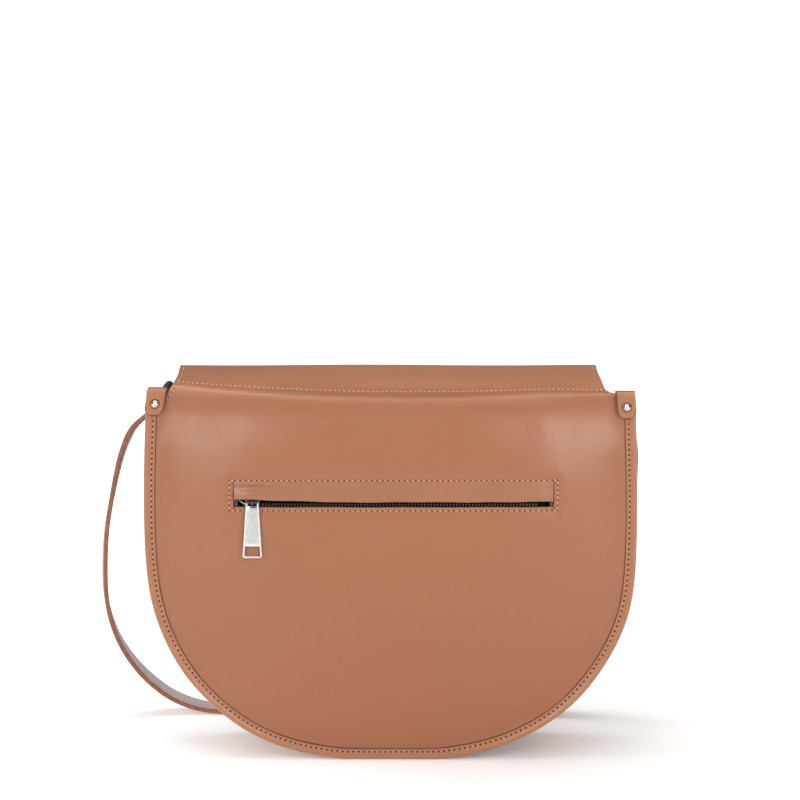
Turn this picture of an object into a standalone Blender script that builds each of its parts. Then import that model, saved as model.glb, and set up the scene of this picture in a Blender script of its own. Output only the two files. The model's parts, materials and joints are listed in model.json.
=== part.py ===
# Half-moon leather satchel with a zip pocket in its back, a folding flap and a shoulder strap.
# Metres, +Z up. The back faces -Y, the flap hangs down the front at +Y.
# The origin is the middle of the flat foot of the back rim.

import math

import bmesh
import bpy
from mathutils import Matrix, Vector

# Outline of the back and the front
bag_half_width = 0.1568
bag_height = 0.2380
front_height = bag_height - 0.0140
round_height = 0.1650      # height over which the sides round in to the bottom
foot_sink = 0.0010         # what the round bottom loses to its flat foot
outline_power = 2.5
corner_draw = 0.0025       # the strap draws the two top corners in
corner_draw_height = 0.0330
bag_depth = 0.0720         # between the middles of the two rims

# Leather, lining and clearances
leather = 0.0012
binding_leather = 0.0010
lining_cloth = 0.0006
gap = 0.0003
overrun = 0.0040

# Rims: a binding folded over the raised edge of each seam
rim_width = 0.0073
rim_web = 0.0020           # leather between the outer edge and the slot
rim_round = 0.0010
rim_slot = 2 * leather + 3 * gap
rim_thickness = rim_slot + 2 * binding_leather
seam_seat = rim_web + gap + gap
seam_layer = (leather + gap) / 2   # middle of each leather from the middle of the rim
wall_inset = 0.0089        # gusset wall, inwards from the outline
wall_bend = 0.0012
wall_rise = 0.0022

# Swell of the stuffed panels
back_swell = 0.0150
front_swell = 0.0080
swell_power = 2.0
zip_swell_power = 4.5      # the panel lies flatter along the zip
zip_swell_height = 0.0300
swell_inset = 0.0088
corner_pull_share = 0.07   # the strap pulls the top corners flat

# Top of the back, where the panel turns over to the flap
top_z = bag_height + 0.0010
top_bend = 0.0070
hinge_y = 0.0060
hinge_share = 0.36          # of the flare, where the flap is sewn on
flap_half_width = bag_half_width - 0.0213
shoulder_flare = 0.0035
shoulder_shares = (1.0, 0.42, 0.30, 0.16, 0.04, 0.0)
shoulder_turn_shares = (0.0, 0.10, 0.40, 0.70, 0.90, 1.0)

# Flap
flap_leather = 0.0014
ridge_y = 0.0575
ridge_z = bag_height - 0.0215
ridge_radius = 0.0280
ridge_lead = math.radians(6.0)
flap_stand = 0.0053        # flap's outer face from the front panel's outer face
flap_drop_z = bag_height - 0.0380
flap_bottom_z = 0.0840
flap_power = 2.4

# Zip pocket
zip_center_x = 0.0020
zip_share = 1.2838         # length of the zip as a share of the bag's half width
zip_length = bag_half_width * zip_share
zip_z = 0.1698             # middle of the zip and axis of the pull
window_top = zip_z + 0.0118
window_bottom = zip_z - 0.0045
slot_top = zip_z + 0.0018
slot_bottom = zip_z - 0.0026
lip_leather = 0.0009
lip_hem = 0.0036
zip_mid_y = -0.0129        # middle of the zip's tapes
tape_thickness = 0.0005
tape_width = 0.0130
tape_end = 0.0030
row_gap = 0.0016
tooth_height = 0.0015
tooth_pitch = 0.0040
tooth_length = 0.0020
tooth_thickness = 0.0016
row_spine = 0.0008
stop_length = 0.0030

# Slider and pull
slider_x = zip_center_x - zip_length / 2 + 0.01175
slider_length = 0.0095
slider_height = 0.0058
slider_plate = 0.0010
slider_neck = 0.0010
slider_neck_length = 0.0030
bail_width = 0.0018
bail_radius = 0.0017
pull_axis_y = -0.0176
pull_bar_radius = 0.0006
pull_length = 0.0353
pull_top_width = 0.0081
pull_bottom_width = 0.0124
pull_thickness = 0.0013
pull_window_top = 0.0023
pull_window_low = 0.0060
pull_frame = 0.0012

# Pocket bags
pouch_cloth = 0.0005
pouch_inner = 0.0050
pouch_half_width = zip_length / 2 - 0.00265
pouch_bottom = 0.1000
pouch_top = zip_z + 0.0172
pouch_mouth = zip_z - 0.0048
slip_half_width = 0.0800
slip_bottom = 0.0920
slip_top = 0.1900

# Corner tabs and their rivets
tab_leather = 0.0014
tab_width = 0.0118
tab_x = bag_half_width - 0.0098
tab_bottom = bag_height - 0.0158
rivet_x = bag_half_width - 0.0080
rivet_z = bag_height - 0.0080
rivet_cap_radius = 0.0028
rivet_cap_height = 0.0020
rivet_shank_radius = 0.0009
rivet_foot_radius = 0.0014
rivet_foot_height = 0.0006
rivet_rim = 0.0004

# Shoulder strap, riveted at each side of the bag
strap_width = 0.0200
strap_end_width = 0.0160
strap_thickness = 0.0030
strap_rivet_y = 0.0360
strap_rivet_z = bag_height - 0.0120
strap_end = 0.0080
strap_run = 0.0980         # how far forward of the rivets the strap lies
strap_lean = 0.42          # rise of its width at the rivets, square to its fall
strap_head_radius = 0.0042
strap_shank_radius = 0.0018
strap_head_height = 0.0016

# Magnetic closure
magnet_radius = 0.0080
magnet_thickness = 0.0011
magnet_z = 0.1020

# Bag lining
lining_inset = 0.0108
lining_back_y = 0.0020
lining_back_swell = 0.0058
lining_front_y = 0.0020
lining_front_swell = 0.0060
lining_top = bag_height - 0.0090
lining_wall_inset = 0.0101
lining_wall_start = 0.0032
gusset_drop_power = 6.0

# How finely the surfaces are divided
edge_steps = 18
straight_share = 0.26
flat_share = 0.8
panel_columns = 14
round_sides = 16

parts = bpy.data.collections.new("satchel")
tools = bpy.data.collections.new("satchel_cutters")


def clear_scene():
    for obj in list(bpy.data.objects):
        bpy.data.objects.remove(obj, do_unlink=True)
    bpy.context.scene.collection.children.link(parts)
    bpy.context.scene.collection.children.link(tools)


def material(name, color, roughness, metallic=0.0):
    mat = bpy.data.materials.new(name)
    mat.use_nodes = True
    shader = mat.node_tree.nodes["Principled BSDF"]
    shader.inputs["Base Color"].default_value = (*color, 1.0)
    shader.inputs["Roughness"].default_value = roughness
    shader.inputs["Metallic"].default_value = metallic
    mat.diffuse_color = (*color, 1.0)
    return mat


tan_color = (0.46, 0.21, 0.11)
black_color = (0.012, 0.011, 0.011)
silver_color = (0.78, 0.77, 0.76)


def add_object(name, mesh, mat, group=parts):
    obj = bpy.data.objects.new(name, mesh)
    if mat is not None:
        mesh.materials.append(mat)
    group.objects.link(obj)
    return obj


def leather_material(name):
    return material(name, tan_color, 0.45)


def cloth_material(name):
    return material(name, black_color, 0.85)


def metal_material(name):
    return material(name, silver_color, 0.2, 1.0)


# The outline, followed from a top corner (turn 0) to the flat foot (turn 1)

def foot_angle():
    return math.asin((1 - foot_sink / round_height) ** (outline_power / 2))


def corner_shift(z, top):
    rise = max(0.0, z - (top - corner_draw_height)) / corner_draw_height
    return corner_draw * rise * rise


def edge_point(turn, inset, top):
    """Point (x, z) on the outline, moved inwards by inset; x is positive."""
    side_z = round_height - foot_sink
    if turn < straight_share:
        z = top + (side_z - top) * turn / straight_share
        return bag_half_width - inset - corner_shift(z, bag_height), z
    angle = foot_angle() * (turn - straight_share) / (1 - straight_share)
    share = 2 / outline_power
    x = bag_half_width * math.cos(angle) ** share
    z = side_z - round_height * math.sin(angle) ** share
    normal_x = math.cos(angle) ** (2 - share) / bag_half_width
    normal_z = math.sin(angle) ** (2 - share) / round_height
    size = math.hypot(normal_x, normal_z)
    return x - inset * normal_x / size, max(z + inset * normal_z / size, inset)


def rim_path(inset, top):
    """The whole rim from the left top corner round the bottom to the right one."""
    half = [edge_point(step / edge_steps, inset, top) for step in range(edge_steps + 1)]
    left = [(-x, z) for x, z in half]
    return left + list(reversed(half))


def path_point(points, share):
    """Point at a share of a path's steps."""
    place = share * (len(points) - 1)
    index = min(int(place), len(points) - 2)
    blend = place - index
    a, b = points[index], points[index + 1]
    return a[0] + (b[0] - a[0]) * blend, a[1] + (b[1] - a[1]) * blend


def corner_pull(z):
    rise = max(0.0, z - (bag_height - corner_draw_height)) / corner_draw_height
    return 1 + corner_pull_share * rise


def drop_share(z):
    """How far a height is below the start of the round bottom, to the power of the outline."""
    low = round_height - swell_inset - foot_sink
    return (max(0.0, round_height - foot_sink - z) / low) ** outline_power


def swell(x, z):
    """How much of the panel's full swell stands at (x, z): 0 at the rim, 1 inside."""
    half = bag_half_width - swell_inset
    across = abs(x) * corner_pull(z) + corner_shift(z, bag_height)
    reach = (across / half) ** outline_power + drop_share(z)
    if reach >= 1:
        return 0.0
    near_zip = math.exp(-((z - zip_z) / zip_swell_height) ** 2)
    return 1 - reach ** (swell_power + zip_swell_power * near_zip)


def swell_edge(z):
    """Half width of the swollen part at a height."""
    half = bag_half_width - swell_inset
    share = max(0.0, 1 - drop_share(z)) ** (1 / outline_power)
    return (half * share - corner_shift(z, bag_height)) / corner_pull(z)


def panel_x(u, edge_x, z):
    """Place across a panel: the outermost column of faces is the flat seam."""
    column = round(u * panel_columns)
    if column in (0, panel_columns):
        return edge_x if column else -edge_x
    inner = max(swell_edge(z), edge_x * flat_share)
    half = panel_columns / 2
    return inner * (column - half) / (half - 1)


# Makers of the shapes

def sheet(name, mat, columns, rows, place, thickness):
    """A grid laid by place(u, v), both from 0 to 1, and given a thickness both ways."""
    bm = bmesh.new()
    bmesh.ops.create_grid(bm, x_segments=columns, y_segments=rows, size=1.0)
    for vert in bm.verts:
        vert.co = place((vert.co.x + 1) / 2, (vert.co.y + 1) / 2)
    mesh = bpy.data.meshes.new(name)
    bm.to_mesh(mesh)
    bm.free()
    mesh.shade_smooth()
    obj = add_object(name, mesh, mat)
    shell = obj.modifiers.new("thickness", "SOLIDIFY")
    shell.thickness = thickness
    shell.offset = 0.0
    return obj


def box(name, mat, low, high, group=parts):
    bm = bmesh.new()
    bmesh.ops.create_cube(bm, size=1.0)
    for vert in bm.verts:
        vert.co = [low[i] if vert.co[i] < 0 else high[i] for i in range(3)]
    mesh = bpy.data.meshes.new(name)
    bm.to_mesh(mesh)
    bm.free()
    return add_object(name, mesh, mat, group)


def hide_tool(obj):
    obj.hide_render = True
    obj.display_type = "WIRE"
    return obj


def cut(obj, cutter, operation="DIFFERENCE"):
    boolean = obj.modifiers.new("cut", "BOOLEAN")
    boolean.operation = operation
    boolean.solver = "EXACT"
    boolean.object = cutter


def rod(name, mat, center, axis, radius, length, group=parts, sides=round_sides):
    """A cylinder of the given length about center, along axis."""
    bm = bmesh.new()
    bmesh.ops.create_cone(bm, cap_ends=True, segments=sides, radius1=radius, radius2=radius, depth=length)
    mesh = bpy.data.meshes.new(name)
    bm.to_mesh(mesh)
    bm.free()
    obj = add_object(name, mesh, mat, group)
    turn = Vector(axis).to_track_quat("Z", "Y").to_matrix().to_4x4()
    obj.matrix_world = Matrix.Translation(center) @ turn
    return obj


def turned(name, mat, profile, center, axis):
    """A turned piece: profile holds (radius, height), from top to bottom, closed on its axis."""
    mesh = bpy.data.meshes.new(name)
    edges = [(i, i + 1) for i in range(len(profile) - 1)]
    mesh.from_pydata([(radius, 0, height) for radius, height in profile], edges, [])
    obj = add_object(name, mesh, mat)
    screw = obj.modifiers.new("turn", "SCREW")
    screw.steps = round_sides
    screw.render_steps = round_sides
    screw.use_merge_vertices = True
    screw.merge_threshold = 0.00001
    turn = Vector(axis).to_track_quat("Z", "Y").to_matrix().to_4x4()
    obj.matrix_world = Matrix.Translation(center) @ turn
    return obj


def curve_mesh(obj, mat):
    """Turns a curve object into a welded mesh object of the same name and place."""
    name = obj.name
    bpy.context.view_layer.update()
    graph = bpy.context.evaluated_depsgraph_get()
    mesh = bpy.data.meshes.new_from_object(obj.evaluated_get(graph))
    matrix = obj.matrix_world.copy()
    curve = obj.data
    bpy.data.objects.remove(obj, do_unlink=True)
    bpy.data.curves.remove(curve)
    bm = bmesh.new()
    bm.from_mesh(mesh)
    bmesh.ops.remove_doubles(bm, verts=bm.verts, dist=0.00001)
    bmesh.ops.recalc_face_normals(bm, faces=bm.faces)
    bm.to_mesh(mesh)
    bm.free()
    mesh.materials.clear()
    solid = add_object(name, mesh, mat)
    solid.matrix_world = matrix
    return solid


def flat_curve(name, loops, thickness):
    """A filled outline in its own XY plane, half its thickness each way."""
    curve = bpy.data.curves.new(name, "CURVE")
    curve.dimensions = "2D"
    curve.fill_mode = "BOTH"
    curve.extrude = thickness / 2
    for loop in loops:
        spline = curve.splines.new("POLY")
        spline.points.add(len(loop) - 1)
        for point, (x, y) in zip(spline.points, loop):
            point.co = (x, y, 0, 1)
        spline.use_cyclic_u = True
    obj = bpy.data.objects.new(name, curve)
    parts.objects.link(obj)
    return obj


def side_strip(name, mat, outline, x_low, x_high):
    """An outline in (y, z), drawn out along X."""
    obj = flat_curve(name, [outline], x_high - x_low)
    # local x to world Y, local y to world Z, local z to world X
    turn = Matrix(((0, 0, 1), (1, 0, 0), (0, 1, 0))).to_4x4()
    obj.matrix_world = Matrix.Translation(((x_low + x_high) / 2, 0, 0)) @ turn
    return curve_mesh(obj, mat)


def front_plate(name, mat, loops, y_middle, thickness):
    """Loops in (x, z), drawn out along Y."""
    obj = flat_curve(name, loops, thickness)
    turn = Matrix(((1, 0, 0), (0, 0, -1), (0, 1, 0))).to_4x4()
    obj.matrix_world = Matrix.Translation((0, y_middle, 0)) @ turn
    return curve_mesh(obj, mat)


# The pieces

def make_rim(name, y_middle, top):
    """A binding folded round the seam's edge: a slotted strip swept round the outline."""
    half_slot = rim_slot / 2
    half = rim_thickness / 2
    inner = rim_width / 2
    profile = bpy.data.curves.new(name + "_profile", "CURVE")
    profile.dimensions = "2D"
    spline = profile.splines.new("POLY")
    corners = [
        (inner, half), (-inner + rim_round, half), (-inner, half - rim_round),
        (-inner, -half + rim_round), (-inner + rim_round, -half), (inner, -half),
        (inner, -half_slot), (-inner + rim_web, -half_slot),
        (-inner + rim_web, half_slot), (inner, half_slot),
    ]
    spline.points.add(len(corners) - 1)
    for point, (across, out) in zip(spline.points, corners):
        point.co = (-across, out, 0, 1)
    spline.use_cyclic_u = True
    shape = bpy.data.objects.new(name + "_profile", profile)
    tools.objects.link(shape)
    path = bpy.data.curves.new(name, "CURVE")
    path.dimensions = "2D"
    path.bevel_mode = "OBJECT"
    path.bevel_object = shape
    path.use_fill_caps = True
    spline = path.splines.new("POLY")
    points = rim_path(inner, top + overrun)
    spline.points.add(len(points) - 1)
    for point, (x, z) in zip(spline.points, points):
        point.co = (x, z, 0, 1)
    obj = bpy.data.objects.new(name, path)
    parts.objects.link(obj)
    turn = Matrix(((1, 0, 0), (0, 0, -1), (0, 1, 0))).to_4x4()
    obj.matrix_world = Matrix.Translation((0, y_middle, 0)) @ turn
    solid = curve_mesh(obj, leather_material(name))
    bpy.data.objects.remove(shape, do_unlink=True)
    trim = box(name + "_trim", None, (-bag_half_width, y_middle - rim_thickness, top),
               (bag_half_width, y_middle + rim_thickness, top + 2 * overrun), tools)
    cut(solid, hide_tool(trim))
    return solid


def back_face(x, z):
    """Middle of the back panel's leather."""
    return -seam_layer - back_swell * swell(x, z)


def front_face(x, z):
    return bag_depth + seam_layer + front_swell * swell(x, z)


def make_back_panel():
    flat_rows = edge_steps
    bend_rows = len(shoulder_shares) - 1
    rows = flat_rows + bend_rows + 1
    bend_z = top_z - leather / 2 - top_bend
    corner_x, _ = edge_point(0, seam_seat, bag_height)

    def place(u, v):
        row = round(v * rows)
        if row <= flat_rows:
            edge_x, z = edge_point(1 - row / flat_rows, seam_seat, bend_z)
            x = panel_x(u, edge_x, z)
            return x, back_face(x, z), z
        step = min(row - flat_rows, bend_rows)
        spread = flap_half_width + shoulder_flare
        half = spread + (corner_x - spread) * shoulder_shares[step]
        angle = math.radians(90) * shoulder_turn_shares[step]
        x = panel_x(u, half, bend_z) if step == 0 else (2 * u - 1) * half
        y = back_face(x, bend_z) + top_bend * (1 - math.cos(angle))
        z = bend_z + top_bend * math.sin(angle)
        if row > flat_rows + bend_rows:
            x = (2 * u - 1) * (flap_half_width + shoulder_flare * hinge_share)
            y = hinge_y - gap / 2
        return x, y, z

    panel = sheet("back_panel", leather_material("back_panel"), panel_columns, rows, place, leather)
    half = zip_length / 2
    window = box(
        "zip_window", None, (zip_center_x - half, -back_swell - overrun, window_bottom),
        (zip_center_x + half, 0, window_top), tools)
    cut(panel, hide_tool(window))
    return panel


def make_front_panel():
    def place(u, v):
        edge_x, z = edge_point(v, seam_seat, front_height)
        x = panel_x(u, edge_x, z)
        return x, front_face(x, z), z

    return sheet("front_panel", leather_material("front_panel"), panel_columns, edge_steps, place, leather)


def wall_top(y):
    """The side's top edge falls towards the front."""
    share = min(max(y / bag_depth, 0), 1)
    return bag_height - (bag_height - front_height) * share ** gusset_drop_power


def make_gusset():
    seat, flange = seam_seat, wall_inset - wall_bend
    turn_y = seam_layer + wall_rise
    inner = bag_depth - 2 * turn_y
    section = [
        (seat, seam_layer), (flange, seam_layer), (wall_inset, turn_y),
        (wall_inset, turn_y + inner / 2), (wall_inset, bag_depth - turn_y),
        (flange, bag_depth - seam_layer), (seat, bag_depth - seam_layer),
    ]
    columns = 2 * edge_steps + 1

    def place(u, v):
        inset, y = section[round(v * (len(section) - 1))]
        x, z = path_point(rim_path(inset, wall_top(y)), u)
        return x, y, z

    return sheet("gusset", leather_material("gusset"), columns, len(section) - 1, place, leather)


def make_lining_wall():
    start, end = lining_wall_start, bag_depth - lining_wall_start
    columns = 2 * edge_steps + 1

    def place(u, v):
        y = start + (end - start) * v
        x, z = path_point(rim_path(lining_wall_inset, wall_top(y) - leather), u)
        return x, y, z

    return sheet("lining_gusset", cloth_material("lining_gusset"), columns, 3, place, lining_cloth)


def make_lining(name, top, level, depth):
    def place(u, v):
        x, z = edge_point(v, lining_inset, top)
        side = 2 * u - 1
        return side * x, level + depth * swell(side * x, z), z

    return sheet(name, cloth_material(name), panel_columns // 2, edge_steps // 2, place, lining_cloth)


def zip_ends(margin=0.0):
    return zip_center_x - zip_length / 2 + margin, zip_center_x + zip_length / 2 - margin


def make_lips():
    face = -seam_layer - back_swell
    outer, inner = face - leather / 2, face - leather / 2 + lip_leather
    back = face + leather / 2 + gap
    low, high = zip_ends(gap)
    turn = window_top - gap
    upper = [
        (outer, slot_top), (outer, turn), (back, turn), (back, turn + lip_hem),
        (back + lip_leather, turn + lip_hem), (back + lip_leather, turn - lip_leather),
        (inner, turn - lip_leather), (inner, slot_top),
    ]
    side_strip("zip_lip_upper", leather_material("zip_lip_upper"), upper, low, high)
    turn = window_bottom + gap
    lower = [
        (outer, slot_bottom), (inner, slot_bottom), (inner, turn + lip_leather),
        (back + lip_leather, turn + lip_leather), (back + lip_leather, turn - lip_hem),
        (back, turn - lip_hem), (back, turn), (outer, turn),
    ]
    side_strip("zip_lip_lower", leather_material("zip_lip_lower"), lower, low, high)


def tooth_row(name, root_z, way):
    """A toothed strip: its spine at root_z, its teeth towards way."""
    low, high = zip_ends(stop_length + gap)
    count = int((high - low) / tooth_pitch)
    start = low + (tooth_pitch / 2 if way > 0 else 0)
    tip = root_z + way * tooth_height
    loop = []
    for index in range(count - 1):
        left = start + index * tooth_pitch
        right = left + tooth_length
        loop += [(left, root_z), (left, tip), (right, tip), (right, root_z)]
    back = root_z - way * row_spine
    loop += [(loop[-1][0], back), (loop[0][0], back)]
    mat = metal_material(name)
    return front_plate(name, mat, [loop], zip_mid_y, tooth_thickness)


def make_zip():
    low, high = zip_ends(-tape_end)
    front, back = zip_mid_y - tape_thickness / 2, zip_mid_y + tape_thickness / 2
    row_edge = row_gap / 2 + tooth_height + row_spine + gap
    box("zip_tape_upper", cloth_material("zip_tape_upper"),
        (low, front, zip_z + row_edge), (high, back, zip_z + row_edge + tape_width))
    box("zip_tape_lower", cloth_material("zip_tape_lower"),
        (low, front, zip_z - row_edge - tape_width), (high, back, zip_z - row_edge))
    tooth_row("zip_teeth_upper", zip_z + row_gap / 2 + tooth_height, -1)
    tooth_row("zip_teeth_lower", zip_z - row_gap / 2 - tooth_height, 1)
    reach = row_edge - gap
    first, last = zip_ends()
    for name, start in (("zip_stop_left", first), ("zip_stop_right", last - stop_length)):
        box(name, metal_material(name),
            (start, zip_mid_y - tooth_thickness / 2, zip_z - reach),
            (start + stop_length, zip_mid_y + tooth_thickness / 2, zip_z + reach))


def make_pouch():
    top_y = zip_mid_y + slider_reach() + gap
    depth = pouch_inner + 2 * pouch_cloth
    pouch = box("zip_pocket_bag", cloth_material("zip_pocket_bag"),
                (zip_center_x - pouch_half_width, top_y, pouch_bottom),
                (zip_center_x + pouch_half_width, top_y + depth, pouch_top))
    inside = box("pouch_inside", None,
                 (zip_center_x - pouch_half_width + pouch_cloth, top_y + pouch_cloth,
                  pouch_bottom + pouch_cloth),
                 (zip_center_x + pouch_half_width - pouch_cloth, top_y + depth - pouch_cloth,
                  pouch_top + overrun), tools)
    cut(pouch, hide_tool(inside))
    mouth = box("pouch_mouth", None,
                (zip_center_x - pouch_half_width - overrun, top_y - overrun, pouch_mouth),
                (zip_center_x + pouch_half_width + overrun, top_y + depth - pouch_cloth,
                 pouch_top + overrun), tools)
    cut(pouch, hide_tool(mouth))
    return top_y + depth


def slider_reach():
    """Half the slider's thickness, from the middle of the tapes."""
    return tooth_thickness / 2 + gap + slider_plate


def make_slider():
    half, tall = slider_length / 2, slider_height / 2
    front = zip_mid_y - slider_reach()
    back = zip_mid_y + slider_reach()
    mat = metal_material("zip_slider")
    body = box("zip_slider", mat, (-half, front - zip_mid_y, -tall), (half, back - zip_mid_y, tall))
    body.location = (slider_x, zip_mid_y, zip_z)
    channel_y = slider_reach() - slider_plate
    for name, low, high in (("channel_upper", slider_neck / 2, tall + overrun),
                            ("channel_lower", -tall - overrun, -slider_neck / 2)):
        channel = box(name, None, (-half - overrun, -channel_y, low), (half + overrun, channel_y, high), tools)
        channel.location = body.location
        cut(body, hide_tool(channel))
    for name, low, high in (("neck_left", -half - overrun, -slider_neck_length / 2),
                            ("neck_right", slider_neck_length / 2, half + overrun)):
        trim = box(name, None, (low, -channel_y, -slider_neck), (high, channel_y, slider_neck), tools)
        trim.location = body.location
        cut(body, hide_tool(trim))
    center = Vector((slider_x, pull_axis_y, zip_z))
    bail = rod("bail", None, center, (1, 0, 0), bail_radius, bail_width, tools)
    cut(body, hide_tool(bail), "UNION")
    stem = box("bail_stem", None,
               (slider_x - bail_width / 2, pull_axis_y, zip_z - bail_radius * 0.9),
               (slider_x + bail_width / 2, front + slider_plate / 2, zip_z + bail_radius * 0.9), tools)
    cut(body, hide_tool(stem), "UNION")
    eye = rod("bail_eye", None, center, (1, 0, 0), pull_bar_radius + gap, bail_width + overrun, tools)
    cut(body, hide_tool(eye))
    return body


def make_pull():
    """A tapered plate with a window at each end; its origin is on the hinge axis."""
    half_top, half_low = pull_top_width / 2, pull_bottom_width / 2

    def half_at(z):
        return half_top + (half_low - half_top) * -z / pull_length

    start, end = pull_bar_radius, -pull_length
    outline = [(-half_at(start), start), (-half_low, end), (half_low, end), (half_at(start), start)]
    eye_low = -pull_window_top
    eye = [(-half_at(0) + pull_frame, eye_low), (half_at(0) - pull_frame, eye_low),
           (half_at(0) - pull_frame, overrun), (-half_at(0) + pull_frame, overrun)]
    low = end + pull_frame
    high = low + pull_window_low
    window = [(-half_at(high) + 2 * pull_frame, high), (-half_at(low) + 1.5 * pull_frame, low),
              (half_at(low) - 1.5 * pull_frame, low), (half_at(high) - 2 * pull_frame, high)]
    pull = front_plate("zip_pull", metal_material("zip_pull"), [outline], 0, pull_thickness)
    for name, loop in (("pull_eye", eye), ("pull_window", window)):
        tool = front_plate(name, None, [loop], 0, pull_thickness + overrun)
        parts.objects.unlink(tool)
        tools.objects.link(tool)
        tool.location = (slider_x, pull_axis_y, zip_z)
        cut(pull, hide_tool(tool))
    bar = rod("pull_bar", None, (slider_x, pull_axis_y, zip_z), (1, 0, 0),
              pull_bar_radius, 2 * half_at(0), tools)
    cut(pull, hide_tool(bar), "UNION")
    pull.location = (slider_x, pull_axis_y, zip_z)
    return pull


def make_slip_pocket():
    face = bag_depth - lining_front_y + lining_front_swell * swell(slip_half_width, slip_bottom)
    back = face - lining_cloth / 2 - gap
    depth = pouch_inner + 2 * pouch_cloth
    pocket = box("slip_pocket", cloth_material("slip_pocket"),
                 (-slip_half_width, back - depth, slip_bottom), (slip_half_width, back, slip_top))
    inside = box("slip_inside", None,
                 (-slip_half_width + pouch_cloth, back - depth + pouch_cloth, slip_bottom + pouch_cloth),
                 (slip_half_width - pouch_cloth, back - pouch_cloth, slip_top + overrun), tools)
    cut(pocket, hide_tool(inside))
    return pocket


def flap_face(x):
    """Outer face of the hanging flap: it follows the front panel's swell."""
    swelled = swell(x, round_height)
    return bag_depth + seam_layer + leather / 2 + front_swell * swelled + flap_stand


def flap_point(x, travel, depth):
    """Point on the flap at a travel along it from the sewn line; depth is inwards from its outer face."""
    start = Vector((hinge_y, top_z))
    radius = ridge_radius - depth
    lead = Vector((ridge_y - ridge_radius * math.sin(ridge_lead), ridge_z + ridge_radius * math.cos(ridge_lead)))
    strip = (lead - start).length
    arc = ridge_radius * (math.radians(90) + ridge_lead)
    normal = Vector((-(lead - start).y, (lead - start).x)).normalized()
    if travel <= strip:
        point = start + (lead - start) * travel / strip - normal * depth
        return x, point.x, point.y
    if travel <= strip + arc:
        angle = -ridge_lead + (travel - strip) / ridge_radius
        deep = flap_face(x) - ridge_y - depth
        forward = max(math.sin(angle), 0) * (deep - radius) + math.sin(angle) * radius
        return x, ridge_y + forward, ridge_z + radius * math.cos(angle)
    return x, flap_face(x) - depth, ridge_z - (travel - strip - arc)


def flap_lengths():
    lead = Vector((ridge_y - ridge_radius * math.sin(ridge_lead), ridge_z + ridge_radius * math.cos(ridge_lead)))
    strip = (lead - Vector((hinge_y, top_z))).length
    arc = ridge_radius * (math.radians(90) + ridge_lead)
    return strip, arc


def flap_half(z):
    """Half width of the hanging flap at a height: a half moon."""
    if z >= flap_drop_z:
        return flap_half_width
    reach = (flap_drop_z - z) / (flap_drop_z - flap_bottom_z + foot_sink)
    return flap_half_width * (1 - reach ** flap_power) ** (1 / flap_power)


def make_flap_top(name, mat, depth, thickness, side_inset):
    strip, _ = flap_lengths()

    def place(u, v):
        half = flap_half_width - side_inset
        if v == 0:
            half += shoulder_flare * hinge_share
        travel = gap / 2 + (strip - gap) * v
        return flap_point((2 * u - 1) * half, travel, depth)

    return sheet(name, mat, 6, 4, place, thickness)


def make_flap_front(name, mat, depth, thickness, side_inset):
    strip, arc = flap_lengths()
    arc_rows, drop_rows, moon_rows = 6, 1, 9
    rows = arc_rows + drop_rows + moon_rows
    moon = flap_drop_z - flap_bottom_z

    def place(u, v):
        row = round(v * rows)
        if row <= arc_rows:
            travel = strip + gap / 2 + (arc - gap / 2) * row / arc_rows
            half = flap_half_width
        elif row <= arc_rows + drop_rows:
            travel = strip + arc + (ridge_z - flap_drop_z) * (row - arc_rows) / drop_rows
            half = flap_half_width
        else:
            share = math.sin(math.radians(90) * (row - arc_rows - drop_rows) / moon_rows)
            z = flap_drop_z - moon * share
            travel = strip + arc + ridge_z - z
            half = flap_half(z)
        if row == rows:
            travel -= side_inset
        return flap_point((2 * u - 1) * (half - side_inset), travel, depth)

    return sheet(name, mat, 10, rows, place, thickness)


def make_flap():
    lining_depth = flap_leather + gap + lining_cloth / 2
    trim = 0.0012
    make_flap_top("flap_top", leather_material("flap_top"), flap_leather / 2, flap_leather, 0)
    make_flap_top("flap_top_lining", leather_material("flap_top_lining"), lining_depth, lining_cloth, trim)
    make_flap_front("flap_front", leather_material("flap_front"), flap_leather / 2, flap_leather, 0)
    make_flap_front("flap_front_lining", leather_material("flap_front_lining"), lining_depth, lining_cloth, trim)


def make_magnets():
    panel_face = front_face(0, magnet_z) + leather / 2
    lining_face = flap_face(0) - flap_leather - gap - lining_cloth
    rod("magnet_front", metal_material("magnet_front"),
        (0, panel_face + gap + magnet_thickness / 2, magnet_z), (0, 1, 0), magnet_radius, magnet_thickness)
    rod("magnet_flap", metal_material("magnet_flap"),
        (0, lining_face - gap - magnet_thickness / 2, magnet_z), (0, 1, 0), magnet_radius, magnet_thickness)


def rivet_hole(name, center, axis, radius, length, targets):
    tool = hide_tool(rod(name, None, center, axis, radius, length, tools))
    for target in targets:
        cut(target, tool)


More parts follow.
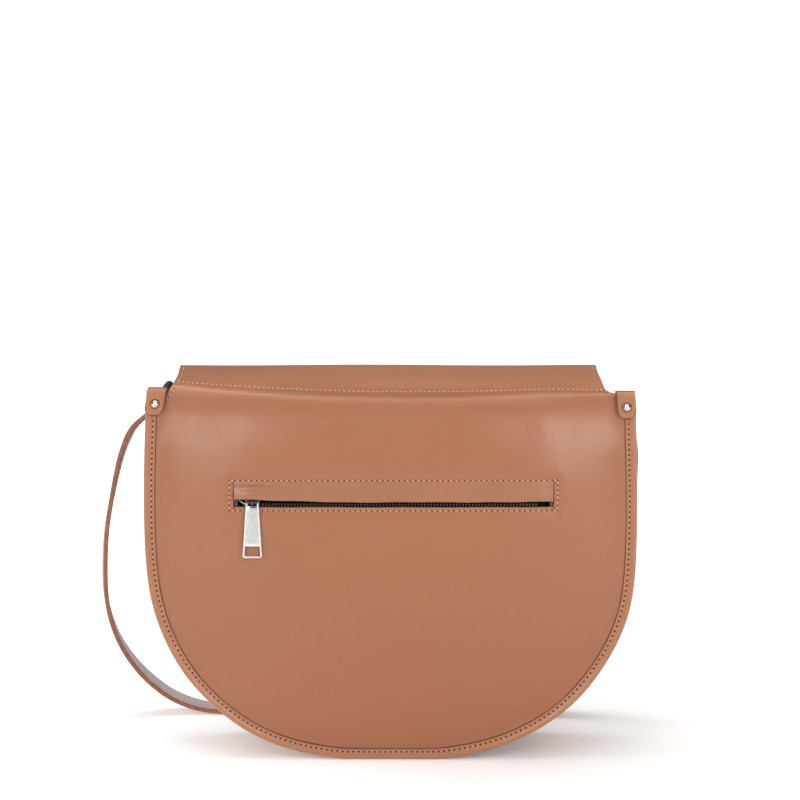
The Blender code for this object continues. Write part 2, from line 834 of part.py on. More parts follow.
def make_tabs(back_panel, back_rim, gusset):
    """Leather folded over each top corner of the back rim and riveted through it."""
    outer = -rim_thickness / 2 - gap - tab_leather
    over = bag_height + gap
    for side, label in ((-1, "left"), (1, "right")):
        half = tab_width / 2
        steps = 8
        low = tab_bottom + half
        loop = [(half, over + tab_leather)]
        loop += [(-half, over + tab_leather)]
        for index in range(steps + 1):
            angle = math.pi * index / steps
            loop.append((-half * math.cos(angle), low - half * math.sin(angle)))
        shifted = [(x + side * tab_x, z) for x, z in loop]
        tab = front_plate("corner_tab_" + label, leather_material("corner_tab_" + label), [shifted],
                          outer + tab_leather / 2, tab_leather)
        fold = box("tab_fold_" + label, None,
                   (side * tab_x - half, outer, over), (side * tab_x + half, rim_thickness / 2, over + tab_leather),
                   tools)
        cut(tab, hide_tool(fold), "UNION")
        center = Vector((side * rivet_x, 0, rivet_z))
        targets = [tab, back_rim, gusset, back_panel]
        rivet_hole("tab_hole_" + label, center, (0, 1, 0), rivet_shank_radius + gap,
                   2 * (rim_thickness + tab_leather), targets)
        top = rim_thickness / 2 + tab_leather + 2 * gap
        foot = -rim_thickness / 2 - gap
        cap = [(0, top + rivet_cap_height)]
        for index in range(1, 5):
            angle = math.radians(90) * index / 4
            cap.append((rivet_cap_radius * math.sin(angle),
                        top + rivet_rim + (rivet_cap_height - rivet_rim) * math.cos(angle)))
        cap += [(rivet_cap_radius, top), (rivet_shank_radius, top), (rivet_shank_radius, foot),
                (rivet_foot_radius, foot), (rivet_foot_radius, foot - rivet_foot_height),
                (0, foot - rivet_foot_height)]
        turned("tab_rivet_" + label, metal_material("tab_rivet_" + label), cap, center, (0, -1, 0))


# Stations of the strap: across as a share of the half width, forward as a share of its run,
# height as a share of the rivets' height, then how its width leans along X and along Z.
strap_shares = (
    (-1.000, 0.030, 0.953, 0.25, -0.20), (-1.038, 0.060, 0.916, 0.25, -0.20),
    (-1.066, 0.097, 0.878, 0.22, -0.18), (-1.107, 0.170, 0.808, 0.18, -0.12),
    (-1.156, 0.284, 0.697, 0.02, -0.05), (-1.186, 0.398, 0.584, -0.03, 0.00),
    (-1.198, 0.510, 0.469, -0.05, 0.05), (-1.191, 0.602, 0.374, -0.06, 0.08),
    (-1.171, 0.684, 0.296, -0.06, 0.10), (-1.135, 0.760, 0.217, -0.05, 0.10),
    (-1.071, 0.837, 0.142, -0.05, 0.10), (-1.001, 0.898, 0.088, -0.04, 0.08),
    (-0.925, 0.939, 0.053, -0.02, 0.05), (-0.816, 0.980, 0.026, 0.00, 0.03),
    (-0.700, 0.960, 0.011, 0.00, 0.00), (-0.542, 0.918, 0.000, 0.00, 0.00),
    (-0.320, 0.867, 0.000, 0.00, 0.00), (0.000, 0.837, 0.000, 0.00, 0.00),
    (0.320, 0.837, 0.000, 0.00, 0.00), (0.510, 0.847, 0.004, 0.00, 0.02),
    (0.663, 0.852, 0.036, 0.00, 0.10), (0.778, 0.837, 0.093, 0.00, 0.20),
    (0.867, 0.776, 0.192, 0.00, 0.28), (0.944, 0.694, 0.311, 0.00, 0.35),
    (0.989, 0.571, 0.438, 0.00, 0.40), (1.0125, 0.469, 0.535, 0.00, 0.42),
    (1.0125, 0.327, 0.660, 0.00, 0.42), (1.0125, 0.194, 0.786, 0.00, 0.42),
    (1.0105, 0.112, 0.875, 0.00, 0.42), (0.984, 0.058, 0.935, 0.00, 0.42),
)
strap_steps_between = 2


def strap_stations():
    """All stations as (place, lean of the width), from the left end to the right end."""
    floor_z = strap_thickness / 2 + gap / 2
    seat_x = bag_half_width - wall_inset + leather / 2 + gap + strap_thickness / 2
    fall = Vector((0, strap_run, -strap_rivet_z)).normalized()
    rivet = Vector((0, strap_rivet_y, strap_rivet_z))
    ends = []
    for along in (-strap_end, 0.0, strap_end * 0.75):
        place = rivet + fall * along
        ends.append((place.y, place.z))
    stations = []
    for y, z in ends:
        stations.append((Vector((-seat_x, y, z)), Vector((0, 1, strap_lean))))
    for across, forward, height, lean_x, lean_z in strap_shares:
        place = Vector((across * bag_half_width, strap_rivet_y + forward * strap_run,
                        floor_z + height * (strap_rivet_z - floor_z)))
        stations.append((place, Vector((lean_x, 1, lean_z))))
    for y, z in reversed(ends):
        stations.append((Vector((seat_x, y, z)), Vector((0, 1, strap_lean))))
    return stations


def smooth_between(values, index, blend):
    """A smooth curve through the values, between index and the next one."""
    last = len(values) - 1
    a, b = values[max(index - 1, 0)], values[index]
    c, d = values[min(index + 1, last)], values[min(index + 2, last)]
    square, cube = blend * blend, blend * blend * blend
    return (b * 2 + (c - a) * blend + (a * 2 - b * 5 + c * 4 - d) * square
            + (b * 3 - a - c * 3 + d) * cube) * 0.5


def strap_line():
    stations = strap_stations()
    places = [station[0] for station in stations]
    leans = [station[1] for station in stations]
    floor_z = strap_thickness / 2 + gap / 2
    line = []
    for index in range(len(places) - 1):
        for step in range(strap_steps_between):
            blend = step / strap_steps_between
            place = smooth_between(places, index, blend)
            place.z = max(place.z, floor_z)
            line.append((place, leans[index].lerp(leans[index + 1], blend)))
    line.append((places[-1], leans[-1]))
    return line


def make_strap():
    line = strap_line()
    count = len(line)
    wide_after = 4 * strap_steps_between

    def place(u, v):
        index = round(u * (count - 1))
        here, lean = line[index]
        before, after = line[max(index - 1, 0)][0], line[min(index + 1, count - 1)][0]
        along = (after - before).normalized()
        across = (lean - along * lean.dot(along)).normalized()
        near_end = min(index, count - 1 - index) / wide_after
        width = strap_end_width + (strap_width - strap_end_width) * min(near_end, 1)
        if index in (0, count - 1):
            width *= 0.62
        return here + across * width * (v - 0.5)

    strap = sheet("shoulder_strap", leather_material("shoulder_strap"), count - 1, 1, place, strap_thickness)
    return strap


def make_strap_rivets(strap, gusset, lining):
    seat_x = bag_half_width - wall_inset + leather / 2 + gap
    inner_x = bag_half_width - lining_wall_inset - lining_cloth / 2 - gap
    middle_x = (seat_x + inner_x) / 2
    top = seat_x + strap_thickness + gap - middle_x
    foot = inner_x - middle_x - corner_shift(strap_rivet_z + strap_head_radius, bag_height)
    for side, label in ((-1, "left"), (1, "right")):
        center = Vector((side * middle_x, strap_rivet_y, strap_rivet_z))
        rivet_hole("strap_hole_" + label, center, (1, 0, 0), strap_shank_radius + gap,
                   4 * strap_thickness, (strap, gusset, lining))
        profile = [(0, top + strap_head_height), (strap_head_radius * 0.7, top + strap_head_height * 0.85),
                   (strap_head_radius, top + strap_head_height * 0.4), (strap_head_radius, top),
                   (strap_shank_radius, top), (strap_shank_radius, foot), (strap_head_radius, foot),
                   (strap_head_radius, foot - strap_head_height / 2), (0, foot - strap_head_height / 2)]
        name = "strap_rivet_" + label
        turned(name, metal_material(name), profile, center, (side, 0, 0))


def make_satchel():
    clear_scene()
    back_panel = make_back_panel()
    make_front_panel()
    gusset = make_gusset()
    back_rim = make_rim("back_binding", 0, bag_height)
    make_rim("front_binding", bag_depth, front_height)
    lining = make_lining_wall()
    make_lining("lining_back", lining_top, lining_back_y, -lining_back_swell)
    make_lining("lining_front", front_height - leather, bag_depth - lining_front_y, lining_front_swell)
    make_lips()
    make_zip()
    make_pouch()
    make_slip_pocket()
    make_slider()
    make_pull()
    make_flap()
    make_magnets()
    make_tabs(back_panel, back_rim, gusset)
    strap = make_strap()
    make_strap_rivets(strap, gusset, lining)


make_satchel()
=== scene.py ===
import math
import json

import bpy
import bmesh
import numpy as np
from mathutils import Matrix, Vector

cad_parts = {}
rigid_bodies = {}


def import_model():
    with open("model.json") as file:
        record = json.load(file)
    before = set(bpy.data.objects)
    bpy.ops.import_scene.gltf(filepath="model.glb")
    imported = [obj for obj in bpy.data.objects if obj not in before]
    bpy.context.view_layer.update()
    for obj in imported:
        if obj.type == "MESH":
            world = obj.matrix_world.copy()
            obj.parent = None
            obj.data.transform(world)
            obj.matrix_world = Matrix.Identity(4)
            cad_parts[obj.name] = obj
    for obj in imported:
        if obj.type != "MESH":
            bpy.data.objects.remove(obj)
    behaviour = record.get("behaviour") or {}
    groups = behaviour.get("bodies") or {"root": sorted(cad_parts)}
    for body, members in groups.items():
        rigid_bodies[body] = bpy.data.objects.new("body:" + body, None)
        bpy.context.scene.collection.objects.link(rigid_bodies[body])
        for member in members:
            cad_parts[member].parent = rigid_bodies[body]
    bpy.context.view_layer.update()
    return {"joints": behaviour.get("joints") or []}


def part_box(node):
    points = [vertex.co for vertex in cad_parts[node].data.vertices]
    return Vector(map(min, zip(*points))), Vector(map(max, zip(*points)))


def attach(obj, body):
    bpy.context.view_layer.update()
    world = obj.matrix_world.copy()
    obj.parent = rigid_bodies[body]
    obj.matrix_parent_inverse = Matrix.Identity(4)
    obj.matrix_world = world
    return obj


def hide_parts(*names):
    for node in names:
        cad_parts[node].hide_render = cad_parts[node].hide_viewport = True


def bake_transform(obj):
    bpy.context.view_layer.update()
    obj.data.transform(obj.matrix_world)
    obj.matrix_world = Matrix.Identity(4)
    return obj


# Metres, +Z up. The back of the bag, with its zip, faces -Y and the camera.

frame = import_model()
cadNames = {obj.name for obj in bpy.data.objects}
print("frame loaded")

rimBack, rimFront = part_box("back_binding"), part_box("front_binding")
bag = {
    "halfWidth": rimBack[1][0] - 0.0006,     # a little inside the rim's box
    "height": rimBack[1][2],
    "frontHeight": rimFront[1][2],
    "depth": (rimFront[0][1] + rimFront[1][1]) / 2,
    "rimThickness": rimBack[1][1] - rimBack[0][1],
    "roundHeight": 0.165,
    "footSink": 0.001,
    "power": 2.5,
    "cornerDraw": 0.0025,
    "drawHeight": 0.070,
    "drawPower": 1.6,
    "straightShare": 0.26,
    "skinInset": 0.0058,     # how far inside the outline the skins end, under the rims
}


# geometry helpers

def linked(name, data):
    obj = bpy.data.objects.new(name, data)
    bpy.context.scene.collection.objects.link(obj)
    return obj


def newObject(name, points, faces, materials, faceMaterials=None):
    mesh = bpy.data.meshes.new(name)
    mesh.from_pydata([tuple(map(float, p)) for p in points], [], faces)
    for mat in materials:
        mesh.materials.append(mat)
    if faceMaterials is not None:
        mesh.polygons.foreach_set("material_index", faceMaterials)
    mesh.shade_smooth()
    mesh.update()
    return linked(name, mesh)


def gridFaces(rows, columns, closeColumns=False, skip=()):
    faces = []
    for r in range(rows - 1):
        for c in range(columns if closeColumns else columns - 1):
            if (r, c) not in skip:
                a, b = r * columns, (r + 1) * columns
                c2 = (c + 1) % columns
                faces.append((a + c, a + c2, b + c2, b + c))
    return faces


def ringFaces(rings, sides, base=0, turned=False):
    # walls between rings of points, with a cap at each end; turned where the rings run the other way round
    faces = []
    for r in range(rings - 1):
        for k in range(sides):
            a, b = base + r * sides + k, base + r * sides + (k + 1) % sides
            faces.append((a, a + sides, b + sides, b) if turned else (a, b, b + sides, a + sides))
    around = range(sides) if turned else range(sides)[::-1]
    last = base + (rings - 1) * sides
    return faces + [tuple(base + k for k in around), tuple(last + k for k in reversed(around))]


def gridObject(name, grid, materials, **options):
    # grid holds rows of points, as an array of rows x columns x 3
    rows, columns = grid.shape[:2]
    faces = gridFaces(rows, columns, **options)
    return newObject(name, grid.reshape(-1, 3), faces, materials)


def applyModifiers(obj):
    bpy.context.view_layer.update()
    graph = bpy.context.evaluated_depsgraph_get()
    mesh = bpy.data.meshes.new_from_object(obj.evaluated_get(graph))
    old = obj.data
    obj.modifiers.clear()
    obj.data = mesh
    bpy.data.meshes.remove(old)
    return obj


def thicken(obj, thickness, edgeSlot=0, roundEdge=0.0003, segments=2, painted=False):
    shell = obj.modifiers.new("thickness", "SOLIDIFY")
    shell.thickness = thickness
    shell.offset = -1.0
    shell.use_even_offset = True
    shell.use_quality_normals = True
    shell.material_offset_rim = edgeSlot
    if roundEdge:
        bevel = obj.modifiers.new("round", "BEVEL")
        bevel.width = roundEdge
        bevel.segments = segments
        bevel.limit_method = "ANGLE"
        bevel.angle_limit = math.radians(50)
        if painted:
            bevel.material = edgeSlot
    return applyModifiers(obj)


def joinAll(name, objects):
    bpy.ops.object.select_all(action="DESELECT")
    for obj in objects:
        obj.select_set(True)
    bpy.context.view_layer.objects.active = objects[0]
    bpy.ops.object.join()
    objects[0].name = name
    objects[0].data.name = name
    return objects[0]


def writeMesh(bm, mesh):
    bmesh.ops.recalc_face_normals(bm, faces=bm.faces)
    bm.to_mesh(mesh)
    bm.free()


def smoothStep(value, low, high):
    t = np.clip((np.asarray(value, float) - low) / (high - low), 0, 1)
    return t * t * (3 - 2 * t)


def hump(value, middle, width):
    return np.exp(-((np.asarray(value, float) - middle) / width) ** 2)


def runAlong(line):
    # how far along a polyline each of its points lies
    steps = np.linalg.norm(np.diff(line, axis=0), axis=1)
    return np.concatenate([[0], np.cumsum(steps)])


def evenSpots(line, pitch):
    # points along a polyline, about a pitch apart
    line = np.asarray(line, float)
    run = runAlong(line)
    count = max(2, int(round(run[-1] / pitch)) + 1)
    spots = np.linspace(0, run[-1], count)
    return np.stack([np.interp(spots, run, line[:, i]) for i in range(line.shape[1])], axis=1)


# the outline of the bag

def cornerShift(z):
    rise = np.maximum(0, np.asarray(z, float) - (bag["height"] - bag["drawHeight"])) / bag["drawHeight"]
    return bag["cornerDraw"] * rise ** bag["drawPower"]


def edgePoint(turn, inset, top):
    # turn 0 is a top corner and 1 the start of the flat foot; x is positive
    turn = np.asarray(turn, float)
    sideZ = bag["roundHeight"] - bag["footSink"]
    share = 2 / bag["power"]
    footAngle = math.asin((1 - bag["footSink"] / bag["roundHeight"]) ** (bag["power"] / 2))
    straight = turn < bag["straightShare"]
    zStraight = top + (sideZ - top) * turn / bag["straightShare"]
    xStraight = bag["halfWidth"] - inset - cornerShift(zStraight)
    angle = footAngle * np.clip((turn - bag["straightShare"]) / (1 - bag["straightShare"]), 0, 1)
    c, s = np.cos(angle), np.sin(angle)
    x = bag["halfWidth"] * c ** share
    z = sideZ - bag["roundHeight"] * s ** share
    normalX, normalZ = c ** (2 - share) / bag["halfWidth"], s ** (2 - share) / bag["roundHeight"]
    size = np.hypot(normalX, normalZ)
    x = np.where(straight, xStraight, x - inset * normalX / size)
    z = np.where(straight, zStraight, np.maximum(z + inset * normalZ / size, inset))
    return x, z


def evenTurns(inset, top, pitch):
    # turns that are evenly spaced along the half outline
    turns = np.linspace(0, 1, 3000)
    x, z = edgePoint(turns, inset, top)
    run = np.concatenate([[0], np.cumsum(np.hypot(np.diff(x), np.diff(z)))])
    count = int(round(run[-1] / pitch)) + 1
    return np.interp(np.linspace(0, run[-1], count), run, turns)


def rimLine(inset, top, pitch=0.003, measured=0.0046, spaced=None):
    # the whole rim from the left corner round the bottom to the right one, as (x, z)
    turns = evenTurns(measured, spaced or top, pitch)
    x, z = edgePoint(turns, inset, top)
    footCount = max(3, int(2 * edgePoint(1.0, measured, top)[0] / pitch))
    foot = np.linspace(-x[-1], x[-1], footCount)[1:-1]
    left = np.stack([-x, z], axis=1)
    flat = np.stack([foot, np.full(len(foot), z[-1])], axis=1)
    return np.concatenate([left, flat, np.stack([x, z], axis=1)[::-1]])


def halfWidthAt(z, inset, top):
    turns = np.linspace(0, 1, 3000)
    x, edgeZ = edgePoint(turns, inset, top)
    return np.interp(z, edgeZ[::-1], x[::-1])


print("outline ready")


# materials

class Link:
    # a node's output, so that shader maths reads as ordinary sums
    def __init__(self, maker, socket):
        self.maker, self.socket = maker, socket

    def math(self, operation, a, b):
        return self.maker.node("ShaderNodeMath", {"operation": operation}, {0: a, 1: b})

    def __add__(self, other):
        return self.math("ADD", self, other)

    def __radd__(self, other):
        return self.math("ADD", other, self)

    def __sub__(self, other):
        return self.math("SUBTRACT", self, other)

    def __rsub__(self, other):
        return self.math("SUBTRACT", other, self)

    def __mul__(self, other):
        return self.math("MULTIPLY", self, other)

    def __rmul__(self, other):
        return self.math("MULTIPLY", other, self)


class Finish:
    # one material: node() makes any node, and the rest are the mixes that the finishes share
    def __init__(self, name, **shaderValues):
        self.material = bpy.data.materials.new(name)
        self.material.use_nodes = True
        self.tree = self.material.node_tree
        self.shader = self.tree.nodes["Principled BSDF"]
        for key, value in shaderValues.items():
            self.shader.inputs[key].default_value = value

    def node(self, kind, settings=None, inputs=None, output=0):
        made = self.tree.nodes.new(kind)
        for key, value in (settings or {}).items():
            setattr(made, key, value)
        for key, value in (inputs or {}).items():
            if isinstance(value, Link):
                self.tree.links.new(value.socket, made.inputs[key])
            else:
                made.inputs[key].default_value = value
        return Link(self, made.outputs[output])

    def place(self):
        return self.node("ShaderNodeTexCoord", output=3)

    def stretched(self, scale):
        return self.node("ShaderNodeMapping", inputs={"Vector": self.place(), "Scale": scale})

    def noise(self, scale, detail=3.0, rough=0.55, vector=None, distortion=0.0):
        return self.node("ShaderNodeTexNoise", inputs={
            "Vector": vector or self.place(), "Scale": scale, "Detail": detail,
            "Roughness": rough, "Distortion": distortion})

    def cells(self, scale):
        return self.node("ShaderNodeTexVoronoi", {"feature": "DISTANCE_TO_EDGE"}, {
            "Vector": self.place(), "Scale": scale})

    def height(self):
        return self.node("ShaderNodeSeparateXYZ", inputs={0: self.place()}, output=2)

    def spread(self, value, low, high, toLow=0.0, toHigh=1.0):
        return self.node("ShaderNodeMapRange", {"clamp": True}, {
            "Value": value, "From Min": low, "From Max": high, "To Min": toLow, "To Max": toHigh})

    def blend(self, factor, a, b):
        return self.node("ShaderNodeMix", {"data_type": "RGBA"}, {0: factor, 6: a, 7: b}, output=2)

    def bump(self, height, distance, strength=1.0, under=None):
        inputs = {"Height": height, "Distance": distance, "Strength": strength}
        if under:
            inputs["Normal"] = under
        return self.node("ShaderNodeBump", inputs=inputs)

    def feed(self, **links):
        for key, link in links.items():
            self.tree.links.new(link.socket, self.shader.inputs[key.replace("_", " ")])
        return self.material


def rgba(color, tone=1.0):
    return tuple(tone * v for v in color[:3]) + (1.0,)


leatherFinish = {
    "light": (0.377, 0.152, 0.0700),
    "deep": (0.353, 0.138, 0.0610),
    "flapTone": 1.09,         # painted light: the flap's leather is a paler copy of the panel's, as its strip shows paler than the panel in the photograph
    "poreTone": 0.55,
    "rough": (0.33, 0.40),
    "coat": 0.17,
    "grainScale": 1150.0,
    "grainDepth": 0.00005,
    "creaseDepth": 0.00022,
    # heights between which the back's tone and gloss change, and how much, set to match the photograph's
    # brightness: painted shade, darker below the flap's start and more so low down and on the roll, with the
    # strip above painted paler; not a wear that it shows
    "rollStart": (0.2225, 0.2285),
    "rollEnd": (0.2345, 0.2390),
    "lowPart": (0.070, 0.150),
    "flapStart": (0.2340, 0.2395),
    "lowTone": (0.86, 0.76, 0.66),
    "lowShare": 0.33,
    "rollShare": 0.20,
    "underShare": 0.50,
}


def tanLeather(name, tone=1.0, gloss=0.0, paintedLightAndShade=False):
    look = leatherFinish
    coat = look["coat"]
    finish = Finish(name, **{"Specular IOR Level": 0.54, "Coat Weight": coat, "Coat Roughness": 0.28})
    light, deep = rgba(look["light"], tone), rgba(look["deep"], tone)
    clouds = finish.noise(16.0, 4.0, 0.6)
    mottle = finish.noise(140.0, 3.0, 0.6)
    tint = finish.spread(clouds * 0.7 + mottle * 0.3, 0.36, 0.64)
    grain = finish.cells(look["grainScale"])
    fine = finish.noise(look["grainScale"] * 1.6, 2.0)
    pores = finish.spread(grain, 0.0, 0.25)
    # very fine creases, long and thin, as in soft leather that has been bent
    crease = finish.noise(60.0, 5.0, 0.7, finish.stretched((1.0, 1.0, 0.35)), 0.8)
    creaseLine = finish.spread(crease, 0.48, 0.62)
    color = finish.blend(tint, deep, light)
    color = finish.blend(pores * 0.10 + 0.90, rgba(deep, look["poreTone"]), color)
    smooth, dull = look["rough"]
    rough = finish.spread(clouds * 0.5 + mottle * 0.5 - pores * 0.05, 0.3, 0.7, smooth - gloss, dull - gloss)
    first = finish.bump(creaseLine, look["creaseDepth"], 0.35)
    normal = finish.bump(pores * 0.7 + fine * 0.3, look["grainDepth"], 0.6, first)
    if not paintedLightAndShade:
        return finish.feed(Base_Color=color, Roughness=rough, Normal=normal)
    # painted shade: the back's colour is darkened below the flap's start, and more low down and on the roll
    height = finish.height()
    roll = finish.spread(height, *look["rollStart"]) * (1 - finish.spread(height, *look["rollEnd"]))
    low = 1 - finish.spread(height, *look["lowPart"])
    under = 1 - finish.spread(height, *look["flapStart"])
    # painted light: the strip above the flap's start is made paler
    paintedLightColor = finish.blend(tint, rgba(look["deep"], look["flapTone"]), rgba(look["light"], look["flapTone"]))
    color = finish.blend(under, paintedLightColor, color)
    paintedShadeColor = rgba([v * k for v, k in zip(deep, look["lowTone"])])
    share = under * look["underShare"] + low * look["lowShare"] + roll * look["rollShare"]
    color = finish.blend(share, color, paintedShadeColor)
    rough = rough + roll * 0.16 + low * 0.06
    weight = coat * (1 - roll) * (1 - low * 0.8)
    return finish.feed(Base_Color=color, Roughness=rough, Normal=normal, Coat_Weight=weight)


def edgePaint(name="edgePaint", tone=1.0):
    finish = Finish(name, **{"Specular IOR Level": 0.5})
    wear = finish.noise(300.0, 4.0, 0.6)
    dark, pale = rgba((0.095, 0.034, 0.016), tone), rgba((0.150, 0.058, 0.030), tone)
    color = finish.blend(finish.spread(wear, 0.35, 0.7), dark, pale)
    rough = finish.spread(wear, 0.3, 0.7, 0.36, 0.58)
    return finish.feed(Base_Color=color, Roughness=rough, Normal=finish.bump(wear, 0.00008, 0.5))


def fleshSide():
    # the raw inner side of the leather
    finish = Finish("fleshSide", **{"Specular IOR Level": 0.15, "Sheen Weight": 0.35, "Sheen Roughness": 0.6})
    nap = finish.noise(900.0, 4.0, 0.7, finish.stretched((1.0, 1.0, 0.4)))
    cloud = finish.noise(60.0, 3.0)
    color = finish.blend(finish.spread(nap * 0.6 + cloud * 0.4, 0.35, 0.65),
                         rgba((0.420, 0.350, 0.345)), rgba((0.600, 0.520, 0.515)))
    rough = finish.spread(nap, 0.3, 0.7, 0.86, 0.98)
    return finish.feed(Base_Color=color, Roughness=rough, Normal=finish.bump(nap, 0.00015, 0.7))


def wovenCloth(name, threads, dark=(0.010, 0.009, 0.009), pale=(0.030, 0.027, 0.026)):
    # threads sets how fine the weave is
    finish = Finish(name, **{"Specular IOR Level": 0.25, "Sheen Weight": 0.25, "Sheen Roughness": 0.5})
    place = finish.place()
    warp, weft = [finish.node("ShaderNodeTexWave", {
        "wave_type": "BANDS", "wave_profile": "SIN", "bands_direction": way}, {
        "Vector": place, "Scale": threads / 20, "Distortion": 0.4, "Detail": 1.0}, output=1) for way in "XZ"]
    weave = warp * weft
    cloud = finish.noise(40.0, 3.0)
    color = finish.blend(finish.spread(weave * 0.6 + cloud * 0.4, 0.2, 0.8), rgba(dark), rgba(pale))
    rough = finish.spread(cloud, 0.3, 0.7, 0.72, 0.92)
    return finish.feed(Base_Color=color, Roughness=rough, Normal=finish.bump(weave, 0.0001, 0.6))


def threadFinish(name, color):
    finish = Finish(name, **{"Specular IOR Level": 0.35, "Sheen Weight": 0.2})
    ply = finish.noise(2500.0, 2.0, 0.5)
    tone = finish.blend(finish.spread(ply, 0.3, 0.7), rgba(color, 0.72), rgba(color))
    rough = finish.spread(ply, 0.3, 0.7, 0.5, 0.75)
    return finish.feed(Base_Color=tone, Roughness=rough, Normal=finish.bump(ply, 0.00005, 0.6))


# painted shade: a flat dark disc stands in for the shade inside a needle hole, and for the groove round a
# corner rivet
def needleHole():
    finish = Finish("needleHole", **{"Specular IOR Level": 0.1})
    dust = finish.noise(2000.0)
    color = finish.blend(dust, rgba((0.050, 0.017, 0.009)), rgba((0.095, 0.035, 0.019)))
    return finish.feed(Base_Color=color, Roughness=finish.spread(dust, 0.3, 0.7, 0.8, 0.95))


def silverMetal(name="silverMetal", low=0.10, high=0.22, color=(0.86, 0.85, 0.84), metallic=1.0):
    finish = Finish(name, Metallic=metallic)
    smear = finish.noise(220.0, 4.0, 0.6)
    scratch = finish.noise(1400.0, 2.0, 0.5, finish.stretched((1.0, 1.0, 0.08)))
    tone = finish.blend(finish.spread(smear, 0.35, 0.65), rgba(color, 0.93), rgba(color))
    rough = finish.spread(smear * 0.7 + scratch * 0.3, 0.35, 0.65, low, high)
    return finish.feed(Base_Color=tone, Roughness=rough, Normal=finish.bump(scratch, 0.00001, 0.4))


leather = tanLeather("tanLeather")
# the back's leather carries painted shade by height and a paler strip on top: painted light
backLeather = tanLeather("backLeather", paintedLightAndShade=True)
# painted light: the flap's leather is a paler copy of the panel's
flapLeather = tanLeather("flapLeather", leatherFinish["flapTone"])
lipLeather = tanLeather("lipLeather", 0.93)
rimLeather = tanLeather("rimLeather", 1.03, 0.03)
edge = edgePaint()
strapEdge = edgePaint("strapEdge", 2.6)
flesh = fleshSide()
cloth = wovenCloth("blackCloth", 2600.0)
thread = threadFinish("tanThread", (0.62, 0.34, 0.20))
paleThread = threadFinish("paleThread", (0.76, 0.47, 0.31))
hole = needleHole()
metal = silverMetal()
# painted shade: a darker copy of the silver for the corner rivets, so that their reflections show dimmer
rivetMetal = silverMetal("rivetMetal", 0.14, 0.24, (0.70, 0.69, 0.68))
brightMetal = silverMetal("brightMetal", 0.28, 0.36, (0.92, 0.91, 0.90))
# painted reflection: a near-white, mostly non-metal copy of the silver for the pull's left facet, so that it
# shows bright
facetMetal = silverMetal("facetMetal", 0.30, 0.38, (0.96, 0.95, 0.94), 0.15)
darkMetal = silverMetal("darkMetal", 0.24, 0.36, (0.100, 0.085, 0.080))
tapeCloth = wovenCloth("tapeCloth", 5200.0, (0.030, 0.013, 0.008), (0.060, 0.027, 0.017))
print("materials ready")


# the back of the bag: one piece of leather that goes over the top and becomes the flap

hinge = {j["name"]: j for j in frame["joints"]}
sewnY, sewnZ = hinge["flap_lift"]["pos_m"][1:]
ridgeY, ridgeZ = hinge["flap_unfold"]["pos_m"][1:]
ridgeZ += 0.0009             # the leather lies a little above the hinge line
zipAxis = hinge["pull_swing"]["pos_m"]
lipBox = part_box("zip_lip_upper")
pocket = {
    "left": lipBox[0][0] - 0.0003,
    "right": lipBox[1][0] + 0.0003,
    "top": zipAxis[2] + 0.0137,          # the lips meet the panel under the stitches
    "bottom": zipAxis[2] - 0.0051,
    "lipLeft": zipAxis[2] + 0.0018,     # lower edge of the upper lip, at its left end
    "lipRight": zipAxis[2] + 0.0002,
    "slotBottom": zipAxis[2] - 0.0030,
    "puff": 0.0012,
    "sliderPuff": 0.0017,
    "tuck": 0.0006,
    "tuckReach": 0.0011,
    "stitchOut": 0.0026,
    "stitchOver": 0.00025,
    "stitch": {"pitch": 0.00345, "radius": 0.00028, "hole": 0.00054},
}
back = {
    "seamY": -0.00135,
    "swell": 0.0150,
    "swellInset": 0.0084,
    "rise": 1.45,
    "topRise": 0.90,
    "zipRise": 2.1,
    "cornerPull": 0.07,
    "cornerHeight": 0.033,
    "bend": 0.2260,          # the last level row of the panel; above it the rows follow the crease
    "straight": 0.5,         # share of the way over the top where the crease lies
    "crease": (0.2313, 0.2395),
    "creaseLeft": 0.010,
    "creaseRight": 0.080,
    "creaseEnd": 0.140,
    "overhang": 0.0009,
    "rollDeep": 0.0085,
    "lap": 0.0030,           # the back's skin and the flap's skin run out under each other
    "lapSink": 0.00012,
    # height of the sewn line across, as a polynomial
    "sewnLine": (-5.6914, -0.15230, 0.33752, -0.009666, 0.23664),
    "shift": (-0.0007, -0.0010),
    "skin": 0.0012,
    "stripHalf": 0.1356,
    "ridgeHalf": 0.1336,
    "flareRun": (0.0073, 0.0127),     # the left shoulder, and the fuller right one
    "flarePower": (1.33, 2.7),
    "joinY": 0.030,          # the flap's own skin takes over here
    "crown": 0.0010,
    "pitch": 0.0030,
}


def swellShare(x, z):
    half = bag["halfWidth"] - back["swellInset"]
    low = bag["roundHeight"] - back["swellInset"] - bag["footSink"]
    corner = np.maximum(0, z - (bag["height"] - back["cornerHeight"])) / back["cornerHeight"]
    across = np.abs(x) * (1 + back["cornerPull"] * corner) + cornerShift(z)
    drop = np.maximum(0, bag["roundHeight"] - bag["footSink"] - z) / low
    reach = (across / half) ** bag["power"] + drop ** bag["power"]
    # flat and full along the zip, rounder above it and below it
    rise = back["rise"] + (back["topRise"] - back["rise"]) * smoothStep(z, 0.165, 0.228)
    power = rise + (back["zipRise"] - rise) * smoothStep(z, 0.120, 0.156) * (1 - smoothStep(z, 0.176, 0.226))
    return 1 - np.minimum(reach, 1) ** power


def topZ(x):
    # the sewn line hangs low in the middle and is highest at the left
    x = np.clip(x, -back["stripHalf"] - 0.004, back["stripHalf"] + 0.004)
    return np.polyval(back["sewnLine"], x)


def foldZ(x):
    # the crease under the roll: low in the middle, up at both ends
    low, high = back["crease"]
    near = np.where(x < 0, back["creaseLeft"], back["creaseRight"])
    share = smoothStep((np.abs(x) - near) / (back["creaseEnd"] - near), 0, 1)
    return np.minimum(low + (high - low) * share, topZ(x) - 0.0018)


